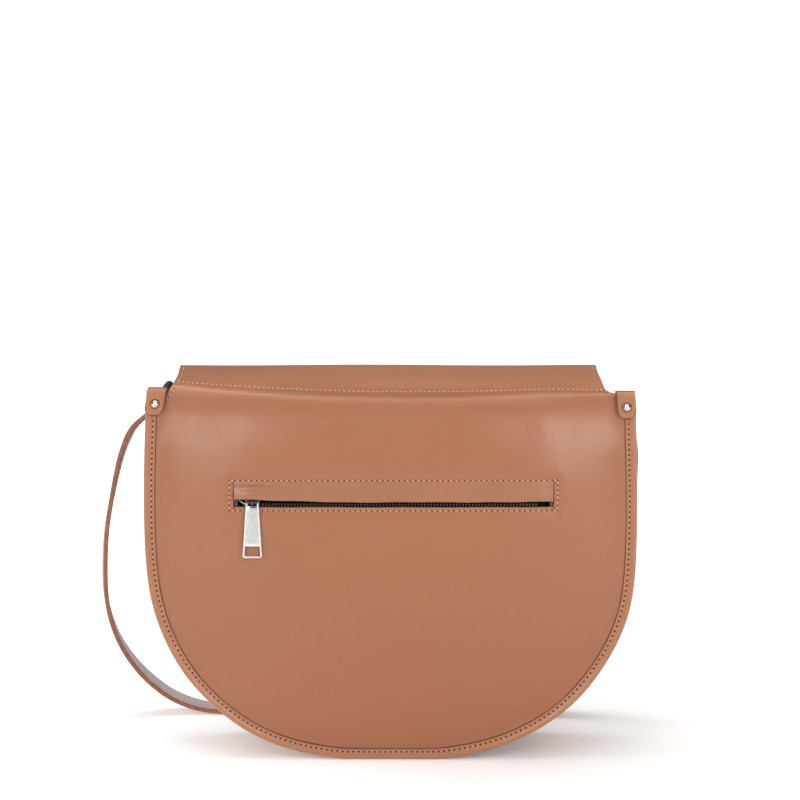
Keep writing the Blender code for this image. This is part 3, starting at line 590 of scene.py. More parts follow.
def panelFolds(x, z):
    # hollows and ridges of the soft leather, positive outwards
    sx = np.abs(x)
    middle = hump(x, 0.0, 0.105)
    # the top rolls forward over the panel; a long shallow hollow lies under it
    crease = foldZ(x)
    folds = back["overhang"] * (0.65 + 0.35 * (1 - middle)) * smoothStep(z, crease - 0.0065, crease + 0.0012)
    folds = folds - 0.0006 * hump(z, crease - 0.014, 0.013)
    # where the side's pull meets the roll, a soft ridge runs inwards at each end
    folds = folds + 0.0007 * hump(x, 0.098, 0.010) * hump(z, 0.2150, 0.014)
    folds = folds - 0.0006 * hump(x, 0.112, 0.008) * hump(z, 0.2160, 0.012)
    folds = folds - 0.0007 * hump(x, -0.104, 0.012) * hump(z, 0.2240, 0.012)
    # small upright wrinkles under the tabs, where the strap pulls
    wrinkle = np.sin(x * 1250 + 2.5 * np.sin(z * 180)) * 0.00009 + np.sin(x * 700 - z * 90) * 0.00012
    pulled = hump(x, -0.130, 0.014) * hump(z, 0.212, 0.016) + hump(x, 0.133, 0.010) * hump(z, 0.208, 0.016)
    folds = folds + wrinkle * pulled
    # small hand-made unevenness
    folds = folds + 0.00022 * np.sin(x * 61 + 1.3) * np.sin(z * 47 + 0.4)
    folds = folds + 0.00012 * np.sin(x * 131 + z * 60) * np.sin(z * 111 + 2.0)
    # the sewn line round the zip pulls the leather in a little
    gapX = np.maximum(0, np.maximum(pocket["left"] - x, x - pocket["right"]))
    gapZ = np.maximum(0, np.maximum(pocket["bottom"] - z, z - pocket["top"]))
    away = np.hypot(gapX, gapZ)
    folds = folds - 0.00040 * hump(away, 0.0012, 0.0014) + 0.00035 * hump(away, 0.007, 0.004)
    return folds * smoothStep(bag["halfWidth"] - sx, 0.008, 0.030)


def panelY(x, z):
    # outer face of the back panel below the roll
    x, z = np.asarray(x, float), np.asarray(z, float)
    return back["seamY"] - back["swell"] * swellShare(x, z) - panelFolds(x, z)


def skinHalf(travel, end=-1):
    # half width of the skin beyond the start of the roll, by distance along it; end is -1 on the left
    onRight = np.asarray(end) > 0
    run, power = (np.where(onRight, right, left) for left, right in (back["flareRun"], back["flarePower"]))
    start = halfWidthAt(back["bend"], bag["skinInset"], bag["height"])
    strip = back["stripHalf"] + (back["ridgeHalf"] - back["stripHalf"]) * smoothStep(travel, 0.016, 0.048)
    return strip + (start - strip) * np.exp(-(travel / run) ** power)


def skinShift(travel):
    # the flap sits a little to the left
    first, second = back["shift"]
    return first * smoothStep(travel, 0, 0.022) + second * smoothStep(travel, 0.022, 0.060)


def stripPoint(x, y):
    # the flap's strip, from the sewn line to the ridge
    share = (y - sewnY) / (ridgeY - sewnY)
    rise = topZ(x) + (ridgeZ - topZ(x)) * share + back["crown"] * np.sin(np.pi * np.clip(share, 0, 1))
    ripple = 0.0004 * np.sin(x * 43 + 0.7) * np.sin(np.pi * np.clip(share, 0, 1)) ** 2
    return np.stack([x, y + 0 * x, rise + ripple], axis=-1)


def rollPoint(x, share):
    # over the roll, from the panel (share 0) by the crease to the flat top (share 1)
    crease, top = foldZ(x), topZ(x)
    if share < back["straight"]:
        z = back["bend"] + (crease - back["bend"]) * share / back["straight"]
        y = panelY(x, z)
    else:
        angle = (share - back["straight"]) / (1 - back["straight"]) * math.pi / 2
        y = panelY(x, crease) + back["rollDeep"] * (1 - math.cos(angle))
        z = crease + (top - crease) * math.sin(angle)
    return np.stack([x + skinShift(share * rollRun), y, z], axis=-1)


def topPoint(x, share):
    # from the end of the roll (share 0) past the sewn line to where the flap's skin takes over (share 1)
    y = np.minimum(rollPoint(x, 1.0)[..., 1], sewnY - 0.0002)
    y = y + (back["joinY"] + back["lap"] - y) * share
    sink = back["lapSink"] * np.clip((y - back["joinY"]) / (2 * back["lap"]) + 0.5, 0, 1)
    return np.stack([x + skinShift(rollRun + share * sideRun), y, topSurface(x, y) - sink], axis=-1)


def topSurface(x, y):
    # height of the flat top at any place
    return np.where(y > sewnY, stripPoint(x, np.maximum(y, sewnY))[..., 2], topZ(x))


def runOver():
    # how far the skin travels over the roll at its two sides
    crease, top = float(foldZ(back["stripHalf"])), float(topZ(back["stripHalf"]))
    return crease - back["bend"] + math.pi / 4 * (back["rollDeep"] + top - crease)


rollRun = runOver()
sideRun = back["joinY"] + back["lap"] - sewnY


def edgeLines(low, high):
    # extra lines beside the window's two edges, so that the leather can turn in there
    steps = (0.0, 0.0004, 0.0010, 0.0019, 0.0030)
    return [low - step for step in steps] + [high + step for step in steps]


def withLines(values, lines, gap=0.0012):
    kept = [v for v in values if min(abs(v - line) for line in lines) > gap]
    return np.array(sorted(kept + lines))


def panelColumns():
    half = halfWidthAt(pocket["top"], bag["skinInset"], bag["height"])
    count = int(2 * half / back["pitch"])
    return withLines(np.linspace(-half, half, count), edgeLines(pocket["left"], pocket["right"])) / half, half


def panelRows():
    turns = evenTurns(bag["skinInset"], bag["height"], back["pitch"])
    heights = edgePoint(turns, bag["skinInset"], bag["height"])[1][::-1]
    low = [z for z in heights if z < bag["roundHeight"] - 0.003]
    side = list(np.arange(bag["roundHeight"] - 0.001, back["bend"] - 0.001, back["pitch"])) + [back["bend"]]
    rows = withLines(low + side, edgeLines(pocket["bottom"], pocket["top"]))
    return rows[np.concatenate([[True], np.diff(rows) > 0.0001])]


def windowTuck(x, z):
    # the leather turns in round the window's edge
    reach, near = pocket["tuckReach"], 0.0002
    outX = np.maximum(pocket["left"] - x, x - pocket["right"])
    outZ = np.maximum(pocket["bottom"] - z, z - pocket["top"])
    beside = np.clip(1 - outX / reach, 0, 1) * (outZ < near)
    overUnder = 0.10 * np.clip(1 - outZ / reach, 0, 1) * (outX < near)
    return pocket["tuck"] * np.maximum(beside, overUnder) ** 2


def makeBackSkin():
    shares, half = panelColumns()
    rows = panelRows()
    grid = []
    for z in rows:
        x = shares * halfWidthAt(z, bag["skinInset"], bag["height"])
        level = np.full_like(x, z)
        grid.append(np.stack([x, panelY(x, level) + windowTuck(x, level), level], axis=1))
    for share in np.linspace(0, 1, 21)[1:]:
        grid.append(rollPoint(shares * skinHalf(share * rollRun, shares), share))
    for share in np.linspace(0, 1, 15)[1:]:
        grid.append(topPoint(shares * skinHalf(rollRun + share * sideRun, shares), share))
    grid = np.array(grid)
    near = 0.000001
    left, right = pocket["left"] - near, pocket["right"] + near
    bottom, top = pocket["bottom"] - near, pocket["top"] + near
    zipRows = [r for r, z in enumerate(rows) if bottom <= z <= top]
    zipColumns = [c for c, x in enumerate(shares * half) if left <= x <= right]
    skip = {(r, c) for r in zipRows[:-1] for c in zipColumns[:-1]}
    obj = gridObject("backSkin", grid, [backLeather, edge], skip=skip)
    thicken(obj, back["skin"], edgeSlot=1, roundEdge=0.00025)
    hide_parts("back_panel")
    return obj


backSkin = makeBackSkin()
print("back skin", len(backSkin.data.polygons))


# stitches: a short thread sunk at both ends, with a needle hole beyond each end, drawn as a flat dark disc:
# painted shade

stitch = {
    "pitch": 0.0034,
    "length": 0.56,          # of the pitch
    "radius": 0.00030,
    "lift": 0.00010,
    "lean": 0.00012,
    "hole": 0.00052,
    "holeLift": 0.00009,
    "holeSink": 0.00004,
    "sides": 6,
    "rings": 5,
    "holeSides": 8,
}


def threadFrame(along, up):
    # along, up and sideways, as unit vectors at right angles
    along = along / np.linalg.norm(along)
    up = up - along * np.dot(up, along)
    up = up / np.linalg.norm(up)
    return along, up, np.cross(along, up)


def stitchRow(name, line, outward, threadMaterial, **changed):
    look = dict(stitch, **changed)
    sides, rings, holeSides = look["sides"], look["rings"], look["holeSides"]
    spots = evenSpots(line, look["pitch"])
    line = np.asarray(line, float)
    outward = np.asarray(outward, float)
    if outward.ndim == 1:
        outward = np.tile(outward, (len(line), 1))
    steps = runAlong(line)
    run = np.linspace(0, steps[-1], len(spots))
    ups = np.stack([np.interp(run, steps, outward[:, i]) for i in range(3)], axis=1)
    points, faces = [], []
    for a, b, up in zip(spots[:-1], spots[1:], ups):
        size = np.linalg.norm(b - a)
        along, up, side = threadFrame(b - a, up)
        faces += ringFaces(rings, sides, len(points))
        for r in range(rings):
            t = (r / (rings - 1) - 0.5) * look["length"]
            bow = 1 - (2 * t / look["length"]) ** 2
            radius = look["radius"] * (0.45 + 0.55 * math.sqrt(max(bow, 0)))
            middle = (a + b) / 2 + along * size * t + up * (look["lift"] * bow - radius * 0.2)
            middle = middle + side * look["lean"] * (2 * t / look["length"])
            for k in range(sides):
                angle = 2 * math.pi * k / sides
                points.append(middle + radius * (side * math.cos(angle) + up * math.sin(angle)))
    slots = [0] * len(faces)
    # a dark disc of painted shade at each needle hole
    for i, spot in enumerate(spots):
        along, up, side = threadFrame(spots[min(i + 1, len(spots) - 1)] - spots[max(i - 1, 0)], ups[i])
        base = len(points)
        points.append(spot + up * look["holeLift"])
        for k in range(holeSides):
            angle = 2 * math.pi * k / holeSides
            spread = look["hole"] * (along * math.cos(angle) * 0.9 + side * math.sin(angle))
            points.append(spot + spread - up * look["holeSink"])
            faces.append((base, base + 1 + k, base + 1 + (k + 1) % holeSides))
            slots.append(1)
    return newObject(name, points, faces, [threadMaterial, hole], slots)


def panelSpots(xs, zs, lift=0.0):
    xs, zs = np.asarray(xs, float), np.asarray(zs, float)
    return np.stack([xs, panelY(xs, zs) - lift, zs], axis=1)


def panelNormals(xs, zs):
    step = 0.0004
    dx = (panelY(xs + step, zs) - panelY(xs - step, zs)) / (2 * step)
    dz = (panelY(xs, zs + step) - panelY(xs, zs - step)) / (2 * step)
    normals = np.stack([dx, -np.ones_like(dx), dz], axis=1)
    return normals / np.linalg.norm(normals, axis=1)[:, None]


def makeZipStitches():
    # four rows round the window
    left, right = pocket["left"] - pocket["stitchOut"], pocket["right"] + pocket["stitchOut"]
    low, high = pocket["bottom"] - pocket["stitchOver"], pocket["top"] + pocket["stitchOver"]
    corners = [(left, high), (right, high), (right, low), (left, low), (left, high)]
    t = np.linspace(0, 1, 60)
    made = []
    for i, ((x0, z0), (x1, z1)) in enumerate(zip(corners, corners[1:])):
        xs, zs = x0 + (x1 - x0) * t, z0 + (z1 - z0) * t
        spots, normals = panelSpots(xs, zs, 0.00002), panelNormals(xs, zs)
        made.append(stitchRow(f"zipStitches{i}", spots, normals, paleThread, **pocket["stitch"]))
    return joinAll("zipStitches", made)


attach(makeZipStitches(), "bag")
print("zip stitches")


# the rims: leather folded over the seam's edge, rolled outside and pressed down by the stitches

rim = {
    # (inset from the outer edge, half thickness); the last ones are the cut, painted edge
    "roll": ((0.0, 0.0), (0.0001, 0.0009), (0.0005, 0.0018), (0.0012, 0.0025), (0.0021, 0.00275),
             (0.0030, 0.00255), (0.0037, 0.0020), (0.0042, 0.00172), (0.0050, 0.00168), (0.0058, 0.00172),
             (0.0064, 0.0021), (0.0069, 0.0022), (0.0072, 0.0019), (0.0075, 0.0014), (0.0076, 0.0010)),
    "painted": 0.00685,
    "stitchInset": 0.0050,
    "stitchOut": 0.00176,
    "pucker": 0.00016,
    "stitchStop": 0.018,     # below its top end
    "stitch": {"radius": 0.00036, "length": 0.46, "hole": 0.00076, "lift": 0.00020},
}


def makeRim(name, y, top, node):
    profile = [(i, -o) for i, o in rim["roll"]] + [(0.0056, -0.0004), (0.0056, 0.0004)]
    profile += [(i, o) for i, o in reversed(rim["roll"][1:])]
    pitch = stitch["pitch"] / 4     # the leather puckers at every stitch
    lines = {inset: rimLine(inset, top, pitch, rim["stitchInset"]) for inset, _ in profile}
    count = len(lines[0.0])
    phase = np.arange(count) % 4
    grid = np.zeros((count, len(profile), 3))
    for k, (inset, out) in enumerate(profile):
        line = lines[inset]
        near = math.exp(-((inset - rim["stitchInset"]) / 0.0010) ** 2)
        press = rim["pucker"] * near * np.where(phase == 0, 1.0, -0.3)
        grid[:, k, 0], grid[:, k, 2] = line[:, 0], line[:, 1]
        grid[:, k, 1] = y + out - np.sign(out) * press * (abs(out) > 0.0005)
    obj = gridObject(name, grid, [rimLeather, edge], closeColumns=True)
    bm = bmesh.new()
    bm.from_mesh(obj.data)
    bm.faces.ensure_lookup_table()
    for index, face in enumerate(bm.faces):
        k = index % len(profile)
        if min(profile[k][0], profile[(k + 1) % len(profile)][0]) > rim["painted"]:
            face.material_index = 1
    bmesh.ops.holes_fill(bm, edges=[e for e in bm.edges if e.is_boundary], sides=0)
    writeMesh(bm, obj.data)
    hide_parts(node)
    return obj


def makeRimStitches(name, y, top, way):
    x, z = rimLine(rim["stitchInset"], top, 0.0012, rim["stitchInset"]).T
    keep = z < top - rim["stitchStop"]
    line = np.stack([x, np.full_like(x, y + way * rim["stitchOut"]), z], axis=1)
    return stitchRow(name, line[keep], (0, way, 0), thread, **rim["stitch"])


seams = (("back", 0, bag["height"]), ("front", bag["depth"], bag["frontHeight"]))
for label, y, top in seams:
    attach(makeRim(f"{label}Rim", y, top, f"{label}_binding"), "bag")
for label, y, top in seams:
    for place, way in (("Near", -1), ("Far", 1)):
        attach(makeRimStitches(f"{label}RimStitches{place}", y, top, way), "bag")
print("rims")


# the flap: the same leather carried over the ridge and down the front, with a leather lining

flap = {
    "thickness": 0.0014,
    "centerY": 0.0575,
    "centerZ": bag["height"] - 0.0206,
    "radius": 0.0280,
    "lead": math.radians(6.0),
    "dropZ": bag["height"] - 0.0380,
    "bottomZ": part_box("flap_front")[0][2],
    "power": 2.4,
    "face": bag["depth"] + 0.00665,      # outer face of the hanging flap at its sides
    "swell": 0.0080,
    "swellPower": 15.0,
    "liningDepth": 0.00155,
    "lining": 0.0006,
    "trim": 0.0005,
    "stitchInset": 0.0026,
    "stitch": {"radius": 0.00034, "length": 0.50, "hole": 0.00060},
    "sewn": {"pitch": 0.0030, "radius": 0.00040, "lift": 0.00020, "hole": 0.00045},
    "footCut": 0.001,        # the moon's lowest point is cut off flat
    "bodies": ("flap_top", "flap_front", (0, 0.044, 0.2436), (0, 0.066, 0.2430)),
}
stripRun = ridgeY - back["joinY"]
arcRun = flap["radius"] * (math.pi / 2 + flap["lead"])
dropRun = stripRun + arcRun + flap["centerZ"] - flap["dropZ"]
moonHeight = flap["dropZ"] - flap["bottomZ"] + flap["footCut"]
moonEnd = math.asin(((moonHeight - flap["footCut"]) / moonHeight) ** (flap["power"] / 2))


def flapFace(x, z):
    half = bag["halfWidth"] - back["swellInset"]
    swelled = 1 - np.minimum(1, np.abs(x) / half) ** flap["swellPower"]
    wave = 0.0006 * np.sin(x * 27 + 0.9) * np.sin((z - 0.25) * 26)
    wave = wave + 0.0003 * np.sin(x * 73) * np.sin(z * 61 + 1)
    sink = 0.0010 * smoothStep(flap["centerZ"] - z, 0.03, 0.13)
    return flap["face"] + flap["swell"] * swelled - sink + wave * smoothStep(flap["centerZ"] - z, 0, 0.04)


def flapRow(x, run, depth=0.0):
    # points at a run along the flap from where its own skin starts; depth is inwards
    moved = x + skinShift(rollRun + sideRun - back["lap"] + run)
    if run <= stripRun:
        share = max(run, 0) / stripRun
        place = stripPoint(x, np.full_like(x, back["joinY"] + run))
        place[..., 1] += depth * math.sin(flap["lead"]) * share
        sink = back["lapSink"] * min(max(0.5 - run / (2 * back["lap"]), 0), 1)
        place[..., 2] -= depth + sink
        place[..., 0] = moved
        return place
    radius = flap["radius"] - depth
    if run <= stripRun + arcRun:
        angle = -flap["lead"] + (run - stripRun) / flap["radius"]
        deep = flapFace(x, flap["centerZ"] + 0 * x) - flap["centerY"] - depth
        forward = max(math.sin(angle), 0) * (deep - radius) + math.sin(angle) * radius
        ripple = 0.0005 * np.sin(x * 38 + 2.1) * math.sin(math.pi * (run - stripRun) / arcRun)
        height = flap["centerZ"] + radius * math.cos(angle) + ripple
        return np.stack([moved, flap["centerY"] + forward, height], axis=-1)
    z = flap["centerZ"] - (run - stripRun - arcRun) + 0 * x
    return np.stack([moved, flapFace(x, z) - depth, z], axis=-1)


def flapRows(inset):
    # (run, half width) of every row, the moon's rows evenly along its edge
    runs = np.concatenate([np.linspace(0, stripRun, 12)[:-1],
                           np.linspace(stripRun, stripRun + arcRun, 19)[:-1],
                           np.linspace(stripRun + arcRun, dropRun, 7)])
    rows = [(run, skinHalf(rollRun + sideRun - back["lap"] + run) - inset) for run in runs]
    return rows + moonEdge(inset, back["pitch"])[1:]


def moonEdge(inset, pitch):
    turns = np.linspace(0, moonEnd, 2000)
    c, s = np.cos(turns), np.sin(turns)
    share = 2 / flap["power"]
    half, drop = back["ridgeHalf"] * c ** share, moonHeight * s ** share
    nx, nz = c ** (2 - share) / back["ridgeHalf"], s ** (2 - share) / moonHeight
    size = np.hypot(nx, nz)
    half = half - inset * nx / size
    drop = np.minimum(drop - inset * nz / size, moonHeight - flap["footCut"] - inset)
    travel = np.concatenate([[0], np.cumsum(np.hypot(np.diff(half), np.diff(drop)))])
    spots = np.linspace(0, travel[-1], int(travel[-1] / pitch) + 1)
    return [(dropRun + d, h) for d, h in zip(np.interp(spots, travel, drop), np.interp(spots, travel, half))]


def flapSheet(name, depth, inset, thickness, materials, nodes, columns=90, start=0.0):
    shares = np.linspace(-1, 1, columns)
    grid = []
    for run in np.arange(start, -0.0001, 0.0015):
        half = skinHalf(rollRun + sideRun - back["lap"] + run) - inset
        grid.append(flapRow(shares * half, run, depth))
    grid += [flapRow(shares * half, run, depth) for run, half in flapRows(inset)]
    obj = gridObject(name, np.array(grid), materials)
    thicken(obj, thickness, edgeSlot=1, roundEdge=0.00025)
    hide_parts(*nodes)
    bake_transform(obj)


flapSheet("flapSkin", 0.0, 0.0, flap["thickness"], [flapLeather, edge], ("flap_top", "flap_front"),
          start=-back["lap"])
flapSheet("flapLining", flap["liningDepth"], flap["trim"], flap["lining"], [flesh, edge],
          ("flap_top_lining", "flap_front_lining"), 60, sewnY + 0.0012 - back["joinY"])


def flapEdgeStitches():
    inset = flap["stitchInset"]
    rows = flapRows(inset)
    left = [flapRow(np.array([-half]), run)[0] for run, half in rows]
    right = [flapRow(np.array([half]), run)[0] for run, half in rows]
    foot = flapRow(np.linspace(-rows[-1][1], rows[-1][1], 30), rows[-1][0])[1:-1]
    line = np.array(left + list(foot) + right[::-1])
    tilt = np.clip((line[:, 1] - flap["centerY"]) / flap["radius"], 0, 1)
    outward = np.stack([0 * tilt, tilt, np.sqrt(1 - tilt ** 2) + 0.001], axis=1)
    obj = stitchRow("flapStitches", line, outward, thread, **flap["stitch"])
    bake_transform(obj)


def shoulderStitches():
    # along the skin's two sides, from the corners over the roll to where the flap's skin starts
    made = []
    for way in (-1, 1):
        line, outward = [], []
        for share in np.linspace(0.2, 1, 17):
            half = skinHalf(share * rollRun, way) - flap["stitchInset"]
            line.append(rollPoint(np.array([way * half]), share)[0])
            turn = max(0, share - back["straight"]) / (1 - back["straight"]) * math.pi / 2
            outward.append((0, -math.cos(turn), math.sin(turn)))
        for share in np.linspace(0, 1, 20)[1:]:
            half = skinHalf(rollRun + share * sideRun, way) - flap["stitchInset"]
            line.append(topPoint(np.array([way * half]), share)[0])
            outward.append((0, 0, 1))
        made.append(stitchRow("shoulderStitches", line, outward, thread, **flap["stitch"]))
    return joinAll("shoulderStitches", made)


def sewnStitches():
    xs = np.linspace(-back["stripHalf"] + 0.001, back["stripHalf"] - 0.001, 160)
    ys = np.full_like(xs, sewnY - 0.0002)
    line = np.stack([xs + back["shift"][0], ys, topSurface(xs, ys)], axis=1)
    return stitchRow("sewnStitches", line, (0, -0.25, 1), paleThread, **flap["sewn"])


flapEdgeStitches()
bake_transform(shoulderStitches())
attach(sewnStitches(), "bag")
print("flap")


# the front and the sides

front = {
    "seamY": bag["depth"] + 0.00135,
    "swell": 0.0080,
    "rise": 2.0,
    "skin": 0.0012,
    "hem": 0.0045,
    "pitch": 0.0032,
}


def frontY(x, z):
    half = bag["halfWidth"] - back["swellInset"]
    low = bag["roundHeight"] - back["swellInset"] - bag["footSink"]
    across = np.abs(x) + cornerShift(z)
    drop = np.maximum(0, bag["roundHeight"] - bag["footSink"] - z) / low
    reach = np.minimum(1, (across / half) ** bag["power"] + drop ** bag["power"])
    wave = 0.0005 * np.sin(x * 33 + 0.4) * np.sin(z * 38) * (1 - reach)
    flatter = 1 - 0.30 * smoothStep(z, 0.19, bag["frontHeight"]) * hump(x, 0, 0.10)
    wave = wave * smoothStep(z, 0.125, 0.15)
    return front["seamY"] + front["swell"] * (1 - reach ** front["rise"]) * flatter + wave


def makeFrontSkin():
    top = bag["frontHeight"]
    turns = evenTurns(bag["skinInset"], top, front["pitch"])
    zs = edgePoint(turns, bag["skinInset"], top)[1]
    shares = np.linspace(1, -1, 96)
    grid = []
    for turn, z in zip(turns[::-1], zs[::-1]):
        x = shares * edgePoint(turn, bag["skinInset"], top)[0]
        grid.append(np.stack([x, frontY(x, np.full_like(x, z)), np.full_like(x, z)], axis=1))
    obj = gridObject("frontSkin", np.array(grid), [leather, edge])
    thicken(obj, front["skin"], edgeSlot=1)
    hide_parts("front_panel")
    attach(obj, "bag")


def frontHemStitches():
    xs = np.linspace(-bag["halfWidth"] + 0.010, bag["halfWidth"] - 0.010, 160)
    zs = np.full_like(xs, bag["frontHeight"] - front["hem"])
    line = np.stack([xs, frontY(xs, zs) + 0.00002, zs], axis=1)
    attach(stitchRow("frontHemStitches", line, (0, 1, 0.1), thread), "bag")


side = {
    "wallInset": 0.0083,
    "flangeY": 0.00135,
    "bendY": 0.0030,
    "skin": 0.0012,
    "sag": 0.0022,
    "topFold": 0.0060,
    "pitch": 0.0034,
    # (forward, how far down): the right side's extra drop, and the top edge below the bag's height
    "rightDrop": ((0.008, 0.0), (0.022, 0.0048), (0.036, 0.0074), (0.045, 0.0102), (0.055, 0.0092),
                  (0.0655, 0.0046), (0.0700, 0.0)),
    "topLine": ((0.0, 0.0008), (0.0030, 0.0018), (0.0290, 0.0019), (0.0350, 0.0012), (0.0400, 0.0005),
                (0.0450, 0.0003), (0.0510, 0.0018), (0.0560, 0.0041), (0.0610, 0.0059), (0.0655, 0.0073)),
    "cloth": 0.0006,
    "clothInset": 0.0098,
}


def wallTop(y):
    # the top edge starts under the tab, lifts over the fold and falls to the front's height
    places, drops = zip(*side["topLine"])
    heights = [bag["height"] - drop for drop in drops] + [bag["frontHeight"]]
    return np.interp(y, places + (bag["depth"] - 0.0013,), heights)


def wallSection():
    # (inset, y) across the side's outer face, from the back seam to the front one
    bend, seat = side["bendY"], side["flangeY"]
    flange = [(0.0050, seat), (0.0062, seat), (0.0073, seat + 0.0001), (0.0079, seat + 0.0005),
              (0.00825, bend)]
    wall = [(side["wallInset"], y) for y in np.linspace(bend, bag["depth"] - bend, 23)[1:-1]]
    return flange + wall + [(inset, bag["depth"] - y) for inset, y in reversed(flange)]


def wallSag(y, z):
    # the soft side sinks in along its middle, less where the strap holds it, with a few shallow folds
    middle = np.sin(np.pi * np.clip(y / bag["depth"], 0, 1)) ** 2
    fold = side["topFold"] * smoothStep(y, 0.026, 0.066) * (1 - smoothStep(y, 0.0655, 0.0700))
    held = 1 - smoothStep(z, 0.175, 0.205)
    low = smoothStep(z, 0.010, 0.060)
    folds = 0.0005 * np.sin(z * 95 + y * 40) + 0.0004 * np.sin(z * 47 - y * 60 + 1.0)
    return middle * (side["sag"] * held * low + folds * held) + fold * smoothStep(z, 0.2160, 0.2330)


def wallGrid(section, drop=0.0, sagShare=1.0, shift=0.0):
    columns = []
    for inset, y in section:
        line = rimLine(inset, wallTop(y) - drop, side["pitch"], side["wallInset"], bag["height"])
        sag = wallSag(y, line[:, 1]) * sagShare + shift
        # the right side isn't pulled up by the strap, so its top lies lower
        lower = np.interp(y, *zip(*side["rightDrop"]))
        line[:, 1] -= lower * smoothStep(line[:, 1], 0.200, 0.238) * (line[:, 0] > 0)
        toward = np.stack([-line[:, 0], np.maximum(0, 0.11 - line[:, 1])], axis=1)
        toward = toward / np.linalg.norm(toward, axis=1)[:, None]
        flat = line + toward * sag[:, None]
        columns.append(np.stack([flat[:, 0], np.full(len(line), y), flat[:, 1]], axis=1))
    return np.stack(columns, axis=1)


def makeGusset():
    obj = gridObject("gussetSkin", wallGrid(wallSection()), [leather, edge])
    thicken(obj, side["skin"], edgeSlot=1)
    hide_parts("gusset")
    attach(obj, "bag")


def makeGussetLining():
    section = [(side["clothInset"], y) for y in np.linspace(0.0032, bag["depth"] - 0.0032, 24)]
    obj = gridObject("gussetLining", wallGrid(section, 0.0010, 1.0, 0.00005), [cloth])
    thicken(obj, side["cloth"], roundEdge=0)
    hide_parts("lining_gusset")
    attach(obj, "bag")


lining = {"inset": 0.0108, "pitch": 0.005, "thickness": 0.0006}


def makeLining(name, node, top, level, depth):
    shares = np.linspace(-1, 1, 60)
    grid = []
    for turn in evenTurns(lining["inset"], top, lining["pitch"])[::-1]:
        half, z = edgePoint(turn, lining["inset"], top)
        x, z = shares * half, np.full(len(shares), z)
        y = level + depth * swellShare(x, z) + 0.0004 * np.sin(x * 60) * np.sin(z * 50)
        grid.append(np.stack([x, y, z], axis=1))
    obj = gridObject(name, np.array(grid), [cloth])
    thicken(obj, lining["thickness"], roundEdge=0)
    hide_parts(node)
    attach(obj, "bag")


makeFrontSkin()
frontHemStitches()
makeGusset()
makeGussetLining()
makeLining("backLining", "lining_back", bag["height"] - 0.0090, 0.0020, -0.0058)
makeLining("frontLining", "lining_front", bag["frontHeight"] - 0.0012, bag["depth"] - 0.0020, 0.0055)
print("front, sides and lining")


# the strap: one flat band, tan outside and raw inside, riveted to both sides

strap = {
    "width": 0.0200,
    "endWidth": 0.0160,
    "thickness": 0.0030,
    "corner": 0.0007,
    "groove": 0.00025,
    "pitch": 0.0025,
    "offFloor": 0.00015,
    "seatX": bag["halfWidth"] - 0.0089 + 0.0006 + 0.0003,     # where its ends lie against the sides
    "rivetY": 0.0360,
    "rivetZ": bag["height"] - 0.0120,
    "end": 0.0060,
    "run": 0.0980,
    "lean": 0.42,
    # across, forward, height, and how its width leans along X and along Z
    "route": (
        (-1.000, 0.030, 0.957, 0.06, -0.10), (-1.040, 0.060, 0.930, 0.06, -0.12),
        (-1.072, 0.097, 0.897, 0.05, -0.12), (-1.114, 0.170, 0.820, 0.02, -0.09),
        (-1.156, 0.284, 0.697, -0.03, -0.05), (-1.186, 0.398, 0.584, -0.08, 0.00),
        (-1.200, 0.510, 0.469, -0.11, 0.05), (-1.200, 0.602, 0.374, -0.12, 0.08),
        (-1.183, 0.684, 0.296, -0.12, 0.10), (-1.145, 0.760, 0.217, -0.11, 0.10),
        (-1.078, 0.837, 0.138, -0.08, 0.10), (-1.003, 0.898, 0.079, -0.05, 0.08),
        (-0.925, 0.925, 0.038, -0.02, 0.05), (-0.816, 0.930, 0.009, 0.00, 0.03),
        (-0.700, 0.918, 0.001, 0.00, 0.00), (-0.542, 0.900, 0.000, 0.00, 0.00),
        (-0.320, 0.867, 0.000, 0.00, 0.00), (0.000, 0.837, 0.000, 0.00, 0.00),
        (0.320, 0.837, 0.000, 0.00, 0.00), (0.510, 0.847, 0.004, 0.00, 0.02),
        (0.663, 0.852, 0.036, 0.00, 0.10), (0.778, 0.837, 0.093, 0.00, 0.20),
        (0.867, 0.776, 0.192, 0.00, 0.28), (0.944, 0.694, 0.311, 0.00, 0.35),
        (0.989, 0.571, 0.438, 0.00, 0.40), (1.0075, 0.469, 0.535, 0.00, 0.42),
        (1.0075, 0.327, 0.660, 0.00, 0.42), (1.0075, 0.194, 0.786, 0.00, 0.42),
        (1.0060, 0.112, 0.875, 0.00, 0.42), (0.984, 0.058, 0.935, 0.00, 0.42),
    ),
}
strapFloor = strap["thickness"] / 2 + strap["offFloor"]     # height of its middle where it lies down


def strapStations():
    seatX = strap["seatX"] + strap["thickness"] / 2
    fall = np.array([0, strap["run"], -strap["rivetZ"]])
    fall = fall / np.linalg.norm(fall)
    rivet = np.array([0, strap["rivetY"], strap["rivetZ"]])
    ends = [rivet + fall * along for along in (-strap["end"], 0.0, strap["end"] * 0.75)]
    rows = [(-seatX, e[1], e[2], 0, 1, strap["lean"]) for e in ends]
    for across, forward, height, leanX, leanZ in strap["route"]:
        rows.append((across * bag["halfWidth"], strap["rivetY"] + forward * strap["run"],
                     strapFloor + height * (strap["rivetZ"] - strapFloor), leanX, 1, leanZ))
    rows += [(seatX, e[1], e[2], 0, 1, strap["lean"]) for e in reversed(ends)]
    return np.array(rows)


